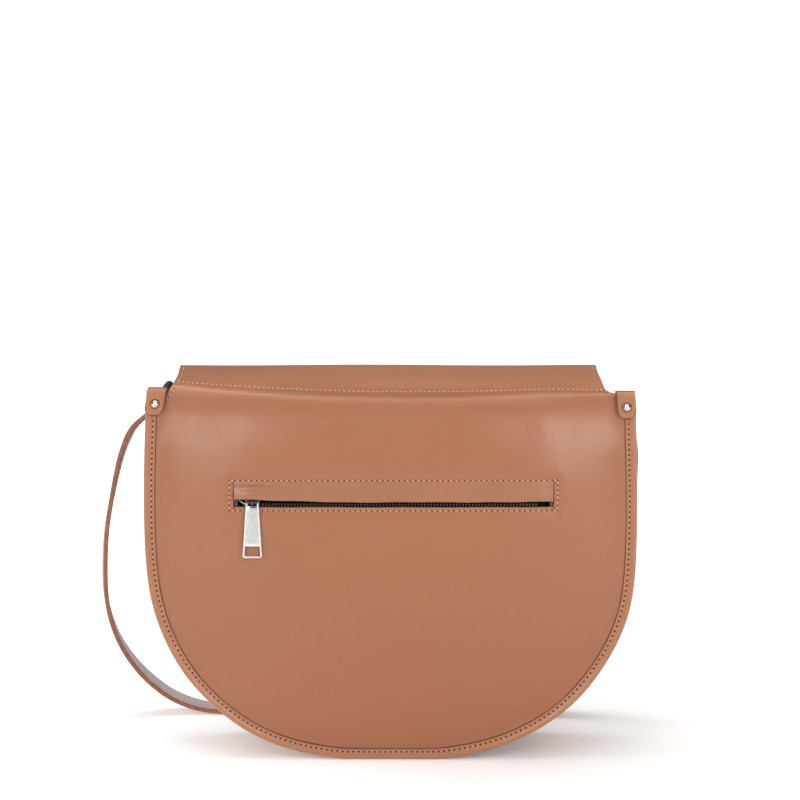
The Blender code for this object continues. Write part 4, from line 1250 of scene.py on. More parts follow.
def strapLine():
    # a smooth curve through the stations, in even steps, with the distance along it
    rows = strapStations()
    padded = np.concatenate([rows[:1], rows, rows[-1:]])
    fine = []
    for i in range(len(rows) - 1):
        a, b, c, d = padded[i:i + 4]
        for t in np.linspace(0, 1, 20, endpoint=False):
            fine.append((b * 2 + (c - a) * t + (a * 2 - b * 5 + c * 4 - d) * t ** 2
                         + (b * 3 - a - c * 3 + d) * t ** 3) * 0.5)
    fine.append(rows[-1])
    fine = np.array(fine)
    fine[:, 2] = np.maximum(fine[:, 2], strapFloor)
    run = runAlong(fine[:, :3])
    spots = np.linspace(0, run[-1], int(run[-1] / strap["pitch"]))
    even = np.stack([np.interp(spots, run, fine[:, k]) for k in range(6)], axis=1)
    for _ in range(6):
        even[1:-1] = even[1:-1] * 0.5 + (even[:-2] + even[2:]) * 0.25
    return even, spots


def strapSection(width):
    # (across, out): out is towards the inner, raw side; a fine groove runs along each edge
    half, thick = width / 2, strap["thickness"] / 2
    corner, groove = strap["corner"], strap["groove"]
    inner = [(across, thick) for across in (-half + corner, -half * 0.5, 0, half * 0.5, half - corner)]
    right = [(half - corner * 0.3, thick - corner * 0.3), (half, thick - corner), (half, groove),
             (half - 0.00020, 0), (half, -groove), (half, -thick + corner),
             (half - corner * 0.3, -thick + corner * 0.3)]
    return inner + right + [(-a, -o) for a, o in inner] + [(-a, -o) for a, o in right]


def makeStrap():
    line, run = strapLine()
    grid = []
    for i in range(len(line)):
        before, after = line[max(i - 1, 0), :3], line[min(i + 1, len(line) - 1), :3]
        along = (after - before) / np.linalg.norm(after - before)
        lean = line[i, 3:]
        across = lean - along * np.dot(lean, along)
        across = across / np.linalg.norm(across)
        inward = np.cross(along, across)
        toEnd = min(run[i], run[-1] - run[i])
        width = strap["endWidth"] + (strap["width"] - strap["endWidth"]) * smoothStep(toEnd, 0.016, 0.040)
        if toEnd < strap["end"]:
            width = width * max(0.30, math.sqrt(max(0, 1 - (1 - toEnd / strap["end"]) ** 2)))
        section = strapSection(float(width))
        grid.append([line[i, :3] + across * a + inward * o for a, o in section])
    grid = np.array(grid)
    obj = gridObject("strapBand", grid, [leather, strapEdge, flesh], closeColumns=True)
    # round the section: the raw side, one edge, the tan side and the other edge
    slots = [2 if c < 4 else 0 if 12 <= c < 16 else 1 for c in range(grid.shape[1])] * (len(grid) - 1)
    bm = bmesh.new()
    bm.from_mesh(obj.data)
    bm.faces.ensure_lookup_table()
    for face, slot in zip(bm.faces, slots):
        face.material_index = slot
    caps = bmesh.ops.holes_fill(bm, edges=[e for e in bm.edges if e.is_boundary], sides=0)
    for face in caps["faces"]:
        face.material_index = 1
    writeMesh(bm, obj.data)
    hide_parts("shoulder_strap")
    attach(obj, "strap")


makeStrap()
print("strap")


# turned metal pieces: caps, shanks and discs

def turnedPiece(name, profile, center, axis, material, sides=40):
    # profile holds (radius, height) along the axis, from the outer end inwards
    points = []
    turn = Vector(axis).to_track_quat("Z", "Y")
    for radius, height in profile:
        for k in range(sides):
            angle = 2 * math.pi * k / sides
            spot = Vector((radius * math.cos(angle), radius * math.sin(angle), height))
            points.append(Vector(center) + turn @ spot)
    obj = newObject(name, points, ringFaces(len(profile), sides, turned=True), [material])
    obj.data.set_sharp_from_angle(angle=math.radians(32))
    return obj


def domeProfile(radius, height, rimHeight, steps=9):
    # a flattened cap with a small rounded rim
    profile = [(radius * 0.03, rimHeight + height)]
    for i in range(1, steps):
        angle = math.pi / 2 * i / steps
        profile.append((radius * 0.90 * math.sin(angle), rimHeight + height * math.cos(angle) ** 1.2))
    return profile + [(radius * 0.93, rimHeight * 1.05), (radius * 0.985, rimHeight * 0.85),
                      (radius, rimHeight * 0.45), (radius * 0.98, 0.00002)]


rivet = {
    "x": bag["halfWidth"] - 0.0080,
    "z": bag["height"] - 0.0080,
    "capRadius": 0.0025,
    "capHeight": 0.0016,
    "capRim": 0.0004,
    "capY": 0.00465,         # how far behind the seam its cap's base lies
    "seat": 0.00290,
    "shank": 0.0009,
}
strapRivet = {"radius": 0.0042, "dome": 0.0012, "rim": 0.0004, "head": 0.0016, "shank": 0.0018}
bothEnds = ((-1, "left"), (1, "right"))


def makeTabRivets():
    for way, label in bothEnds:
        node = f"tab_rivet_{label}"
        base, shank, wide = rivet["capY"], rivet["shank"], rivet["seat"]
        cap = [(r, h + base) for r, h in domeProfile(rivet["capRadius"], rivet["capHeight"], rivet["capRim"])]
        low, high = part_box(node)[0][1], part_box(node)[1][1]
        tail = [(shank, base), (shank, -high + 0.0006), (0.0014, -high + 0.0006), (0.0015, -high + 0.0003),
                (0.0013, -high), (0.0001, -high)]
        cap[0] = (cap[0][0], min(cap[0][1], -low))
        center = (way * rivet["x"], 0, rivet["z"])
        # a dark ring under the cap, in the hole finish: painted shade in the groove round the rivet
        seat = [(0.0008, base + 0.00012), (wide, base + 0.00012), (wide + 0.0001, base),
                (wide, base - 0.0006)]
        obj = joinAll(f"tabRivet{label.title()}", [
            turnedPiece("rivetCap", cap + tail, center, (0, -1, 0), rivetMetal),
            turnedPiece("rivetSeat", seat, center, (0, -1, 0), hole)])
        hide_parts(node)
        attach(obj, "bag")


def makeStrapRivets():
    radius, shank = strapRivet["radius"], strapRivet["shank"]
    for way, label in bothEnds:
        node = f"strap_rivet_{label}"
        low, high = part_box(node)
        inner, outer = sorted((abs(low[0]), abs(high[0])))
        base = outer - strapRivet["head"]
        profile = [(r, h + base) for r, h in domeProfile(radius, strapRivet["dome"], strapRivet["rim"])]
        profile += [(shank, base), (shank, inner + 0.0010), (radius, inner + 0.0008),
                    (radius, inner + 0.0003), (0.0038, inner), (0.0002, inner)]
        center = (0, strap["rivetY"], strap["rivetZ"])
        obj = turnedPiece(f"strapRivet{label.title()}", profile, center, (way, 0, 0), metal)
        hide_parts(node)
        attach(obj, "bag")


def makeMagnets():
    for node, name, body, way in (("magnet_front", "frontMagnet", "bag", 1),
                                  ("magnet_flap", "flapMagnet", "flap_front", -1)):
        low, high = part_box(node)
        middle = [(a + b) / 2 for a, b in zip(low, high)]
        radius, half = (high[0] - low[0]) / 2, (high[1] - low[1]) / 2
        # a small hole in a raised middle, a groove round it and a raised rim
        profile = [(0.0012, half * 0.55), (0.0014, half * 0.9), (0.0050, half), (0.0053, half * 0.62),
                   (radius - 0.0012, half * 0.55), (radius - 0.0008, half), (radius - 0.0002, half * 0.8),
                   (radius, half * 0.3), (radius, -half * 0.6), (radius - 0.0003, -half), (0.0005, -half)]
        obj = turnedPiece(name, profile, middle, (0, way, 0), metal, 56)
        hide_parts(node)
        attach(obj, body)


makeTabRivets()
makeStrapRivets()
makeMagnets()
print("rivets and magnets")


# leather tabs folded over the two top corners

tab = {
    "x": bag["halfWidth"] - 0.0084,
    "half": 0.0061,
    "bottom": bag["height"] - 0.0158,
    "leather": 0.0014,
    "paint": 0.0008,
    "y": -(bag["rimThickness"] / 2 + 0.0003 + 0.0014),   # outer face
    "top": bag["height"] + 0.0017,
    "foldRadius": 0.0026,
    "foldEnd": 0.0026,
    "lean": {"left": 0.17, "right": 0.09},   # the top leans in as the corner does
    "leanFrom": bag["height"] - 0.0055,
    "dimple": 0.00035,       # round the rivet
    "dimpleWide": 0.0034,
    "crown": 0.00018,
    "bottomRows": 12,
}


def tabPath():
    # (y, z) of the outer face, from the round bottom end over the fold
    r = tab["foldRadius"]
    points = [(tab["y"], z) for z in np.concatenate([
        tab["bottom"] + tab["half"] * (1 - np.cos(np.linspace(0, np.pi / 2, tab["bottomRows"]))),
        np.linspace(tab["bottom"] + tab["half"], tab["top"] - r, 8)[1:]])]
    for angle in np.linspace(0, np.pi / 2, 9)[1:]:
        points.append((tab["y"] + r * (1 - math.cos(angle)), tab["top"] - r + r * math.sin(angle)))
    for y in np.linspace(tab["y"] + r, tab["foldEnd"], 5)[1:]:
        points.append((y, tab["top"]))
    return points


def makeTab(way, label):
    node = f"corner_tab_{label}"
    columns = np.concatenate([[-1, -0.87], np.linspace(-0.78, 0.78, 13), [0.87, 1]])
    path, grid, slots = tabPath(), [], []
    for y, z in path:
        up = z - tab["bottom"]
        half = tab["half"]
        if up < half:
            half = math.sqrt(max(half ** 2 - (half - up) ** 2, 0)) if up > 0 else 0
            half = max(half, tab["half"] * 0.16)
        x = columns * half
        lean = -way * tab["lean"][label] * (z - tab["leanFrom"])
        away = (x * way + tab["x"] - rivet["x"]) ** 2 + (z - rivet["z"]) ** 2
        dimple = tab["dimple"] * np.exp(-away / tab["dimpleWide"] ** 2)
        crown = tab["crown"] * (1 - columns ** 2) * (up > 0.001)
        depth = y + dimple - crown if z < tab["top"] - 0.002 else y + 0 * x
        grid.append(np.stack([way * tab["x"] + x + lean, depth, z + 0 * x], axis=1))
    obj = gridObject(f"cornerTab{label.title()}", np.array(grid), [leather, edge])
    # edge paint carried onto the face along the inner side and round the bottom, where it also stands in for
    # the tab's shadow line: partly real edge paint, partly painted shade
    last = len(columns) - 2
    inner = last if way < 0 else 0
    for row in range(len(path) - 1):
        z = path[row][1]
        low = z < tab["bottom"] + tab["paint"] and row < tab["bottomRows"]
        rounded = z < tab["bottom"] + tab["half"] and row < tab["bottomRows"]
        for column in range(last + 1):
            painted = low or column == inner or (rounded and column in (0, last))
            slots.append(1 if painted else 0)
    obj.data.polygons.foreach_set("material_index", slots)
    thicken(obj, tab["leather"], edgeSlot=1, roundEdge=0.00055, segments=3, painted=True)
    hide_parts(node)
    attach(obj, "bag")


for way, label in bothEnds:
    makeTab(way, label)
print("corner tabs")


# the zip in the back: two lips of leather over dark tape and teeth, a slider and its pull

def lipEdgeZ(x):
    share = np.clip((x - pocket["left"]) / (pocket["right"] - pocket["left"]), 0, 1)
    lift = 0.0004 * hump(x, zipAxis[0], 0.010)
    wave = 0.00012 * np.sin(x * 90) + 0.00010 * np.sin(x * 210 + 1)
    level = pocket["lipLeft"] + (pocket["lipRight"] - pocket["lipLeft"]) * smoothStep(share, 0.0, 0.35)
    return level + lift + wave


def upperLipY(x, z, low):
    # the lip stands a little proud towards its free edge, and more where the slider pushes it out
    share = np.clip((pocket["top"] - z) / (pocket["top"] - low), 0, 1)
    ends = smoothStep(np.minimum(x - pocket["left"], pocket["right"] - x), 0.0, 0.010)
    puff = pocket["puff"] * (0.25 + 0.75 * ends) + pocket["sliderPuff"] * hump(x, zipAxis[0] - 0.002, 0.014)
    shape = np.sin(np.pi * np.minimum(share * 0.62, 0.5)) ** 2
    # a hollow over the slider, where the lip is pushed out below it
    valley = 0.0007 * hump(x, zipAxis[0] - 0.001, 0.012) * hump(share, 0.42, 0.22)
    valley = -0.0003 * hump(share, 0.18, 0.15) + valley
    return panelY(x, z) - puff * shape + valley


lip = {"upperRoll": 0.00085, "lowerRoll": 0.0007, "upperSkin": 0.00075, "lowerSkin": 0.0006}


def rolledRows(base, radius, turn, count, way):
    # rows that roll a lip's free edge inwards from its last flat row
    rows = []
    for angle in np.linspace(0, turn, count)[1:]:
        row = base.copy()
        row[:, 1] += radius * (1 - math.cos(angle))
        row[:, 2] += way * radius * math.sin(angle)
        rows.append(row)
    return rows


def makeUpperLip():
    xs = np.concatenate([pocket["left"] + np.array([0, 0.0004, 0.001, 0.002]),
                         np.linspace(pocket["left"] + 0.0035, pocket["right"] - 0.0035, 150),
                         pocket["right"] - np.array([0.002, 0.001, 0.0004, 0])])
    low = lipEdgeZ(xs)
    radius = lip["upperRoll"]
    grid = []
    for share in np.linspace(0, 1, 17):
        z = pocket["top"] + (low + radius - pocket["top"]) * share
        tuck = 0.0001 + 0.0001 * share
        x = np.clip(xs, pocket["left"] + tuck * (share > 0), pocket["right"] - tuck * (share > 0))
        grid.append(np.stack([x, upperLipY(x, z, low + radius), z], axis=1))
    base = grid[-1]
    grid += rolledRows(base, radius, np.pi, 9, -1)
    for rise in (0.0012, 0.0030, 0.0050, 0.0075):
        row = grid[-1].copy()
        row[:, 2] = low + radius + rise
        row[:, 1] = np.maximum(base[:, 1] + 2 * radius, grid[-1][:, 1] - 0.00001)
        grid.append(row)
    grid = np.array(grid)[::-1]
    obj = gridObject("upperLip", grid, [lipLeather, lipLeather])
    thicken(obj, lip["upperSkin"], edgeSlot=1, roundEdge=0)
    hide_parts("zip_lip_upper")
    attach(obj, "bag")


def makeLowerLip():
    xs = np.linspace(pocket["left"] + 0.0002, pocket["right"] - 0.0002, 150)
    high = pocket["slotBottom"] + 0.00008 * np.sin(xs * 120)
    radius = lip["lowerRoll"]
    grid = []
    for share in np.linspace(0, 1, 5):
        z = pocket["bottom"] + (high - radius - pocket["bottom"]) * share
        grid.append(np.stack([xs, panelY(xs, z) - 0.0002 * math.sin(math.pi * share / 2), z], axis=1))
    grid += rolledRows(grid[-1], radius, np.pi * 0.62, 7, 1)
    row = grid[-1].copy()
    row[:, 1] += 0.0006
    row[:, 2] -= 0.0016
    grid.append(row)
    obj = gridObject("lowerLip", np.array(grid), [lipLeather, lipLeather])
    thicken(obj, lip["lowerSkin"], edgeSlot=1, roundEdge=0)
    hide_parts("zip_lip_lower")
    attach(obj, "bag")


def makeTape(name, node, way):
    low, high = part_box(node)
    xs = np.linspace(low[0], high[0], 120)
    inner, outer = (low[2], high[2]) if way > 0 else (high[2], low[2])
    grid = []
    for share in np.linspace(0, 1, 12):
        z = inner + (outer - inner) * share
        cord = 0.00012 * hump(share, 0.06, 0.05)
        wave = 0.00008 * np.sin(xs * 160 + share * 4)
        grid.append(np.stack([xs, low[1] + 0.0001 - cord + wave * share, z + 0 * xs], axis=1))
    grid = np.array(grid if way > 0 else grid[::-1])
    obj = gridObject(name, grid, [tapeCloth])
    thicken(obj, 0.0004, roundEdge=0)
    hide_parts(node)
    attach(obj, "bag")


teeth = {
    "pitch": 0.0020,
    "long": 0.00125,
    "deep": 0.0015,
    "nose": 0.0001,          # how far a tooth reaches past its node's box
    # (along, towards the other row), and (depth, size) of its four layers
    "outline": ((-0.5, 0.0), (-0.5, 0.55), (-0.34, 0.86), (-0.12, 1.0), (0.12, 1.0), (0.34, 0.86),
                (0.5, 0.55), (0.5, 0.0)),
    "layers": ((-0.5, 0.82), (-0.32, 1.0), (0.32, 1.0), (0.5, 0.82)),
}


def toothPoints(place, way, size):
    # one moulded tooth: a rounded block with a nose that reaches over the middle
    length, height, thick = size
    return [(place[0] + x * length * grow, place[1] + level * thick, place[2] + way * z * height * grow)
            for level, grow in teeth["layers"] for x, z in teeth["outline"]]


def makeTeeth(name, node, way):
    low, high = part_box(node)
    pitch, root = teeth["pitch"], (low[2] if way > 0 else high[2])
    middle = (low[1] + high[1]) / 2
    size = (teeth["long"], high[2] - low[2] + teeth["nose"], teeth["deep"])
    points, faces = [], []
    shift = 0 if way > 0 else pitch / 2
    for x in np.arange(low[0] + 0.0010 + shift, high[0] - 0.0006, pitch):
        faces += ringFaces(len(teeth["layers"]), len(teeth["outline"]), len(points))
        points += toothPoints((x, middle, root), way, size)
    obj = newObject(name, points, faces, [darkMetal])
    obj.data.set_sharp_from_angle(angle=math.radians(40))
    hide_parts(node)
    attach(obj, "bag")


makeUpperLip()
makeLowerLip()
makeTape("upperTape", "zip_tape_upper", 1)
makeTape("lowerTape", "zip_tape_lower", -1)
makeTeeth("upperTeeth", "zip_teeth_upper", -1)
makeTeeth("lowerTeeth", "zip_teeth_lower", 1)
print("zip")


def plateMesh(outline, low, high, corner):
    # an outline in (x, z), given depth along Y between low and high, its edges rounded
    bm = bmesh.new()
    loop = [bm.verts.new((x, low, z)) for x, z in outline]
    face = bm.faces.new(loop)
    made = bmesh.ops.extrude_face_region(bm, geom=[face])
    for vert in made["geom"]:
        if isinstance(vert, bmesh.types.BMVert):
            vert.co.y = high
    bmesh.ops.recalc_face_normals(bm, faces=bm.faces)
    if corner:
        bmesh.ops.bevel(bm, geom=list(bm.edges), offset=corner, segments=2, affect="EDGES", profile=0.5)
    return bm


def meshPiece(name, bm, material, sharp=35):
    mesh = bpy.data.meshes.new(name)
    writeMesh(bm, mesh)
    mesh.materials.append(material)
    mesh.shade_smooth()
    mesh.set_sharp_from_angle(angle=math.radians(sharp))
    return linked(name, mesh)


def tubeMesh(path, radius, sides=14, squash=1.0):
    # a closed-ended tube along points in the YZ plane, wider along X by squash
    points = []
    path = np.array(path, float)
    for i, (y, z) in enumerate(path):
        before, after = path[max(i - 1, 0)], path[min(i + 1, len(path) - 1)]
        along = (after - before) / np.linalg.norm(after - before)
        normal = np.array([-along[1], along[0]])
        for k in range(sides):
            angle = 2 * math.pi * k / sides
            out = normal * math.cos(angle) * radius
            points.append((math.sin(angle) * radius * squash, y + out[0], z + out[1]))
    return points, ringFaces(len(path), sides, turned=True)


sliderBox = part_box("zip_slider")
slider = {
    "length": sliderBox[1][0] - sliderBox[0][0],
    "height": sliderBox[1][2] - sliderBox[0][2],
    "middleY": -0.0129,
    "reach": 0.0021,
    "plate": 0.0010,
    "plateRound": 0.00025,
    "wall": (0.0008, 0.00125),
    "neck": (0.0014, 0.0004),
    "bailRadius": 0.00125,
    "bailWire": 0.00042,
    "bailWide": 1.7,
    # a shield: broad where the rows part, drawn in to the end where they leave together
    "shield": ((-1.0, 0.42), (-0.94, 0.72), (-0.80, 0.93), (-0.55, 1.0), (-0.2, 0.98), (0.2, 0.90),
               (0.6, 0.82), (0.88, 0.76), (0.97, 0.62), (1.0, 0.40)),
}


def sliderPlates():
    x0, z0 = zipAxis[0], zipAxis[2]
    half, tall = slider["length"] / 2, slider["height"] / 2
    front, behind = slider["middleY"] - slider["reach"], slider["middleY"] + slider["reach"]
    shield = [(x0 - share * half, width * tall) for share, width in slider["shield"]]
    shield = [(x, z + z0) for x, z in shield + [(x, -z) for x, z in reversed(shield)]]
    parts = []
    for low, high in ((front, front + slider["plate"]), (behind - slider["plate"], behind)):
        parts.append(meshPiece("sliderPlate", plateMesh(shield, low, high, slider["plateRound"]), darkMetal))
    wide, deep = slider["neck"]
    near = slider["wall"][0]
    neck = [(x0 - wide, z0 - deep), (x0 + wide, z0 - deep), (x0 + wide, z0 + deep), (x0 - wide, z0 + deep)]
    parts.append(meshPiece("sliderNeck", plateMesh(neck, front + near, behind - near, 0.0001), darkMetal))
    return parts


def sliderWire():
    # a bright guard wire curves down from its left nose
    x0, z0 = zipAxis[0], zipAxis[2]
    front = slider["middleY"] - slider["reach"]
    share = np.linspace(0, 1, 12)
    wire = np.stack([x0 - 0.0084 + 0.0058 * share, z0 + 0.0014 - 0.0030 * np.sin(share * 1.5)], axis=1)
    step = np.gradient(wire, axis=0)
    out = np.stack([-step[:, 1], step[:, 0]], axis=1) / np.linalg.norm(step, axis=1)[:, None]
    turns = np.linspace(0, 2 * np.pi, 8, endpoint=False)
    thick = 0.00024 * np.minimum(1, 0.15 + 8 * np.minimum(share, 1 - share))
    grid = [[(x + n[0] * math.cos(a) * r, front + math.sin(a) * r, z + n[1] * math.cos(a) * r) for a in turns]
            for (x, z), n, r in zip(wire, out, thick)]
    return gridObject("sliderWire", np.array(grid), [metal], closeColumns=True)


def sliderWalls():
    # side walls that guide the rows
    x0 = zipAxis[0]
    half, tall = slider["length"] / 2, slider["height"] / 2
    front, behind = slider["middleY"] - slider["reach"], slider["middleY"] + slider["reach"]
    near, far = slider["wall"]
    parts = []
    for way in (-1, 1):
        wall = [(x0 - half * 0.55, way * tall * 0.98), (x0 + half * 0.55, way * tall * 0.86),
                (x0 + half * 0.55, way * tall * 0.70), (x0 - half * 0.55, way * tall * 0.82)]
        wall = [(x, z + zipAxis[2]) for x, z in wall]
        for low, high in ((front + near, front + far), (behind - far, behind - near)):
            parts.append(meshPiece("sliderWall", plateMesh(wall, low, high, 0.0001), darkMetal))
    return parts


def sliderBail():
    # a broad loop of wire round the pull's bar
    x0, y0, z0 = zipAxis
    reach, foot = slider["bailRadius"], slider["middleY"] - slider["reach"] + 0.0004
    path = [(foot, z0 + reach)]
    path += [(y0 - reach * math.sin(a), z0 + reach * math.cos(a)) for a in np.linspace(0, math.pi, 15)]
    path += [(foot, z0 - reach)]
    points, faces = tubeMesh(path, slider["bailWire"], squash=slider["bailWide"])
    return newObject("sliderBail", [(x + x0, y, z) for x, y, z in points], faces, [darkMetal])


def makeSlider():
    obj = joinAll("zipSlider", sliderPlates() + [sliderWire()] + sliderWalls() + [sliderBail()])
    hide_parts("zip_slider")
    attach(obj, "zip_slider")


pull = {
    "length": 0.0353,
    "topHalf": 0.00405,
    "lowHalf": 0.0062,
    "thickness": 0.0013,
    "eyeDeep": 0.0024,
    "frame": 0.00115,
    "chamfer": 0.0008,
    "windowHigh": 0.0066,
    "facetDrop": 0.00040,    # the left of its face slopes back
    "endDrop": 0.0006,
    "darkLow": 0.0016,       # painted shadow: the face is painted dark just over its window
    # section of the frame's bar, in shares of its half width and half thickness
    "bar": ((-1, -0.1), (-0.8, -0.66), (-0.36, -1), (0.36, -1), (0.8, -0.66), (1, -0.1),
            (1, 0.45), (0.72, 1), (-0.72, 1), (-1, 0.45)),
    # the face across, from the left edge to the right one, as (share of the half width, how far back)
    "across": ((-1.0, 1.6), (-0.88, 1.15), (-0.46, 0.06), (-0.42, 0.0), (0.0, 0.0), (0.5, 0.0), (0.84, 0.0),
               (0.90, 0.25), (1.0, 1.0)),
}
pullTop = -pull["eyeDeep"]     # both are heights on its face, from the axis
pullLow = -pull["length"] + pull["frame"] + pull["windowHigh"]


def pullHalf(z):
    return pull["topHalf"] + (pull["lowHalf"] - pull["topHalf"]) * -z / pull["length"]


def pullFrame():
    # a rounded bar runs all round, with chamfered corners at the bottom, and closes the top
    x0, y0, z0 = zipAxis
    half, mid, cut = pull["thickness"] / 2, pull["frame"] / 2, pull["chamfer"]
    low = -pull["length"] + mid
    corner = mid - pullHalf(low)
    left = [(mid - pullHalf(z), z) for z in (0.0, pullTop, pullLow)]
    left += [(corner, low + cut), (corner + cut, low)]
    path = [np.array(p, float) for p in left + [(-x, z) for x, z in reversed(left)]]
    bm = bmesh.new()
    rings = []
    for i, point in enumerate(path):
        a, b = point - path[i - 1], path[(i + 1) % len(path)] - point
        a, b = a / np.linalg.norm(a), b / np.linalg.norm(b)
        along = (a + b) / np.linalg.norm(a + b)
        normal = np.array([-along[1], along[0]])
        reach = mid * (1 / max(0.5, float(np.dot(along, b))))
        spots = [(point + normal * u * reach, v) for u, v in pull["bar"]]
        rings.append([bm.verts.new((x0 + spot[0], y0 + v * half, z0 + spot[1])) for spot, v in spots])
    count = len(pull["bar"])
    for i in range(len(rings)):
        a, b = rings[i], rings[(i + 1) % len(rings)]
        for k in range(count):
            bm.faces.new((a[k], a[(k + 1) % count], b[(k + 1) % count], b[k]))
    obj = meshPiece("pullFrame", bm, brightMetal, 30)
    # painted shade: the frame's top bar, under the lip, is given the dark metal
    obj.data.materials.append(darkMetal)
    for part in obj.data.polygons:
        if part.center.z > z0 - mid * 1.2 and abs(part.center.x - x0) < pullHalf(0.0) - pull["frame"]:
            part.material_index = 1
    return obj


def pullFace():
    # the flat face inside the frame, down to its window
    x0, y0, z0 = zipAxis
    half, mid, across = pull["thickness"] / 2, pull["frame"] / 2, pull["across"]
    stops = np.concatenate([[pullTop + 0.0005, pullTop + 0.0001],
                            np.linspace(pullTop - 0.0006, pullLow + 0.0006, 14),
                            [pullLow - 0.0001, pullLow - 0.0005]])
    lastStop, last = len(stops) - 1, len(across) - 1
    bm = bmesh.new()
    rows, backRows = [], []
    for r, z in enumerate(stops):
        ends = 1.0 if r in (0, lastStop) else 0.25 if r in (1, lastStop - 1) else 0.0
        depths = [-half * 0.92 + drop * pull["facetDrop"] + ends * pull["endDrop"] for _, drop in across]
        rows.append([bm.verts.new((x0 + share * (pullHalf(z) - mid), y0 + depth, z0 + z))
                     for (share, _), depth in zip(across, depths)])
    for z in stops:
        backRows.append([bm.verts.new((x0 + share * (pullHalf(z) - mid), y0 + half * 0.86, z0 + z))
                         for share, _ in across])
    for r in range(lastStop):
        for c in range(last):
            bm.faces.new((rows[r][c], rows[r][c + 1], rows[r + 1][c + 1], rows[r + 1][c]))
            bm.faces.new((backRows[r][c], backRows[r + 1][c], backRows[r + 1][c + 1], backRows[r][c + 1]))
        for c in (0, last):
            bm.faces.new((rows[r][c], rows[r + 1][c], backRows[r + 1][c], backRows[r][c]))
    for r in (0, lastStop):
        for c in range(last):
            bm.faces.new((rows[r][c], rows[r][c + 1], backRows[r][c + 1], backRows[r][c]))
    obj = meshPiece("pullFace", bm, metal, 18)
    obj.data.materials.append(facetMetal)
    obj.data.materials.append(darkMetal)
    # the left facet gets the near-white finish, a painted reflection, and just over the window the dark one,
    # a painted shadow
    for facet in obj.data.polygons:
        if facet.normal.y < -0.5 and facet.normal.x < -0.1:
            facet.material_index = 2 if facet.center.z < z0 + pullLow + pull["darkLow"] else 1
    return obj


def makePull():
    obj = joinAll("zipPull", [pullFrame(), pullFace()])
    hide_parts("zip_pull")
    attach(obj, "zip_pull")


def makeStops():
    cut = 0.0004
    for _, label in bothEnds:
        node = f"zip_stop_{label}"
        low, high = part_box(node)
        x0, x1, z0, z1 = low[0] + cut, high[0] - cut, low[2], high[2]
        outline = [(x0, z0 + cut), (x0 + cut, z0), (x1 - cut, z0), (x1, z0 + cut),
                   (x1, z1 - cut), (x1 - cut, z1), (x0 + cut, z1), (x0, z1 - cut)]
        block = plateMesh(outline, low[1], high[1], 0.0002)
        obj = meshPiece(f"zipStop{label.title()}", block, darkMetal)
        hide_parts(node)
        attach(obj, "bag")


makeSlider()
makePull()
makeStops()
print("slider and pull")


# pocket bags of thin black cloth

pouch = {
    "cloth": 0.0004,
    "fold": 0.0006,          # how deep its loose folds are
    "inside": 0.0003,        # kept clear inside its node's box
    "bottomRound": 0.0055,
    "bottomIn": 0.006,
    "levels": (0.0, 0.0006, 0.0016, 0.0032, 0.0055),
    "mouth": 0.0048,         # the zip pocket's front wall stops this far below the zip
    "around": 72,
}


def makePouch(name, node, mouth=None):
    # an open bag: front and back walls meet in rounded sides and a rounded bottom
    low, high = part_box(node)
    middleX, middleY = (low[0] + high[0]) / 2, (low[1] + high[1]) / 2
    halfX, halfY = (high[0] - low[0]) / 2, (high[1] - low[1]) / 2
    tall, count = high[2] - low[2], pouch["around"]
    limit = halfY - pouch["inside"]
    grid = []
    for level in np.concatenate([pouch["levels"], np.linspace(0.009, tall, 20)]):
        roundIn = 1 - math.sqrt(max(0, 1 - (1 - min(level / pouch["bottomRound"], 1)) ** 2))
        slack = 1 - 0.35 * (level / tall) ** 2
        ring = []
        for k in range(count):
            angle = 2 * math.pi * k / count
            c, s = math.cos(angle), math.sin(angle)
            x = math.copysign(abs(c) ** 0.22, c) * (halfX - pouch["inside"] - roundIn * pouch["bottomIn"])
            y = math.copysign(abs(s) ** 0.55, s) * (halfY - 0.0002) * (1 - roundIn * 0.9)
            fold = pouch["fold"] * math.sin(x * 70 + level * 45) * math.sin(level * 38 + 1)
            y = y * slack + fold * (1 - abs(c) ** 4)
            ring.append((middleX + x, middleY + max(-limit, min(limit, y)), low[2] + level + 0.0001))
        grid.append(ring)
    obj = gridObject(name, np.array(grid), [cloth], closeColumns=True)
    bm = bmesh.new()
    bm.from_mesh(obj.data)
    floorEdges = [e for e in bm.edges if e.is_boundary and e.verts[0].co.z < low[2] + 0.0005]
    bmesh.ops.holes_fill(bm, edges=floorEdges, sides=0)
    if mouth:
        places = [(f, f.calc_center_median()) for f in bm.faces]
        cut = [f for f, place in places if place.z > mouth and place.y < middleY + halfY * 0.3]
        bmesh.ops.delete(bm, geom=cut, context="FACES")
    writeMesh(bm, obj.data)
    thicken(obj, pouch["cloth"], roundEdge=0)
    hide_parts(node)
    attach(obj, "bag")


makePouch("zipPouch", "zip_pocket_bag", zipAxis[2] - pouch["mouth"])
makePouch("slipPouch", "slip_pocket")
print("pockets")


# the soft bag doesn't stand quite true: its sides bulge unevenly and one corner hangs lower

uneven = {
    # each side's bulges, as (how far out, height, width)
    "left": ((0.0015, 0.030, 0.018), (-0.0011, 0.100, 0.030)),
    "right": ((0.0007, 0.035, 0.020), (0.0026, 0.092, 0.036)),
    "rightTop": 0.0006,
    "lift": {"left": 0.0007, "right": -0.0016},
}


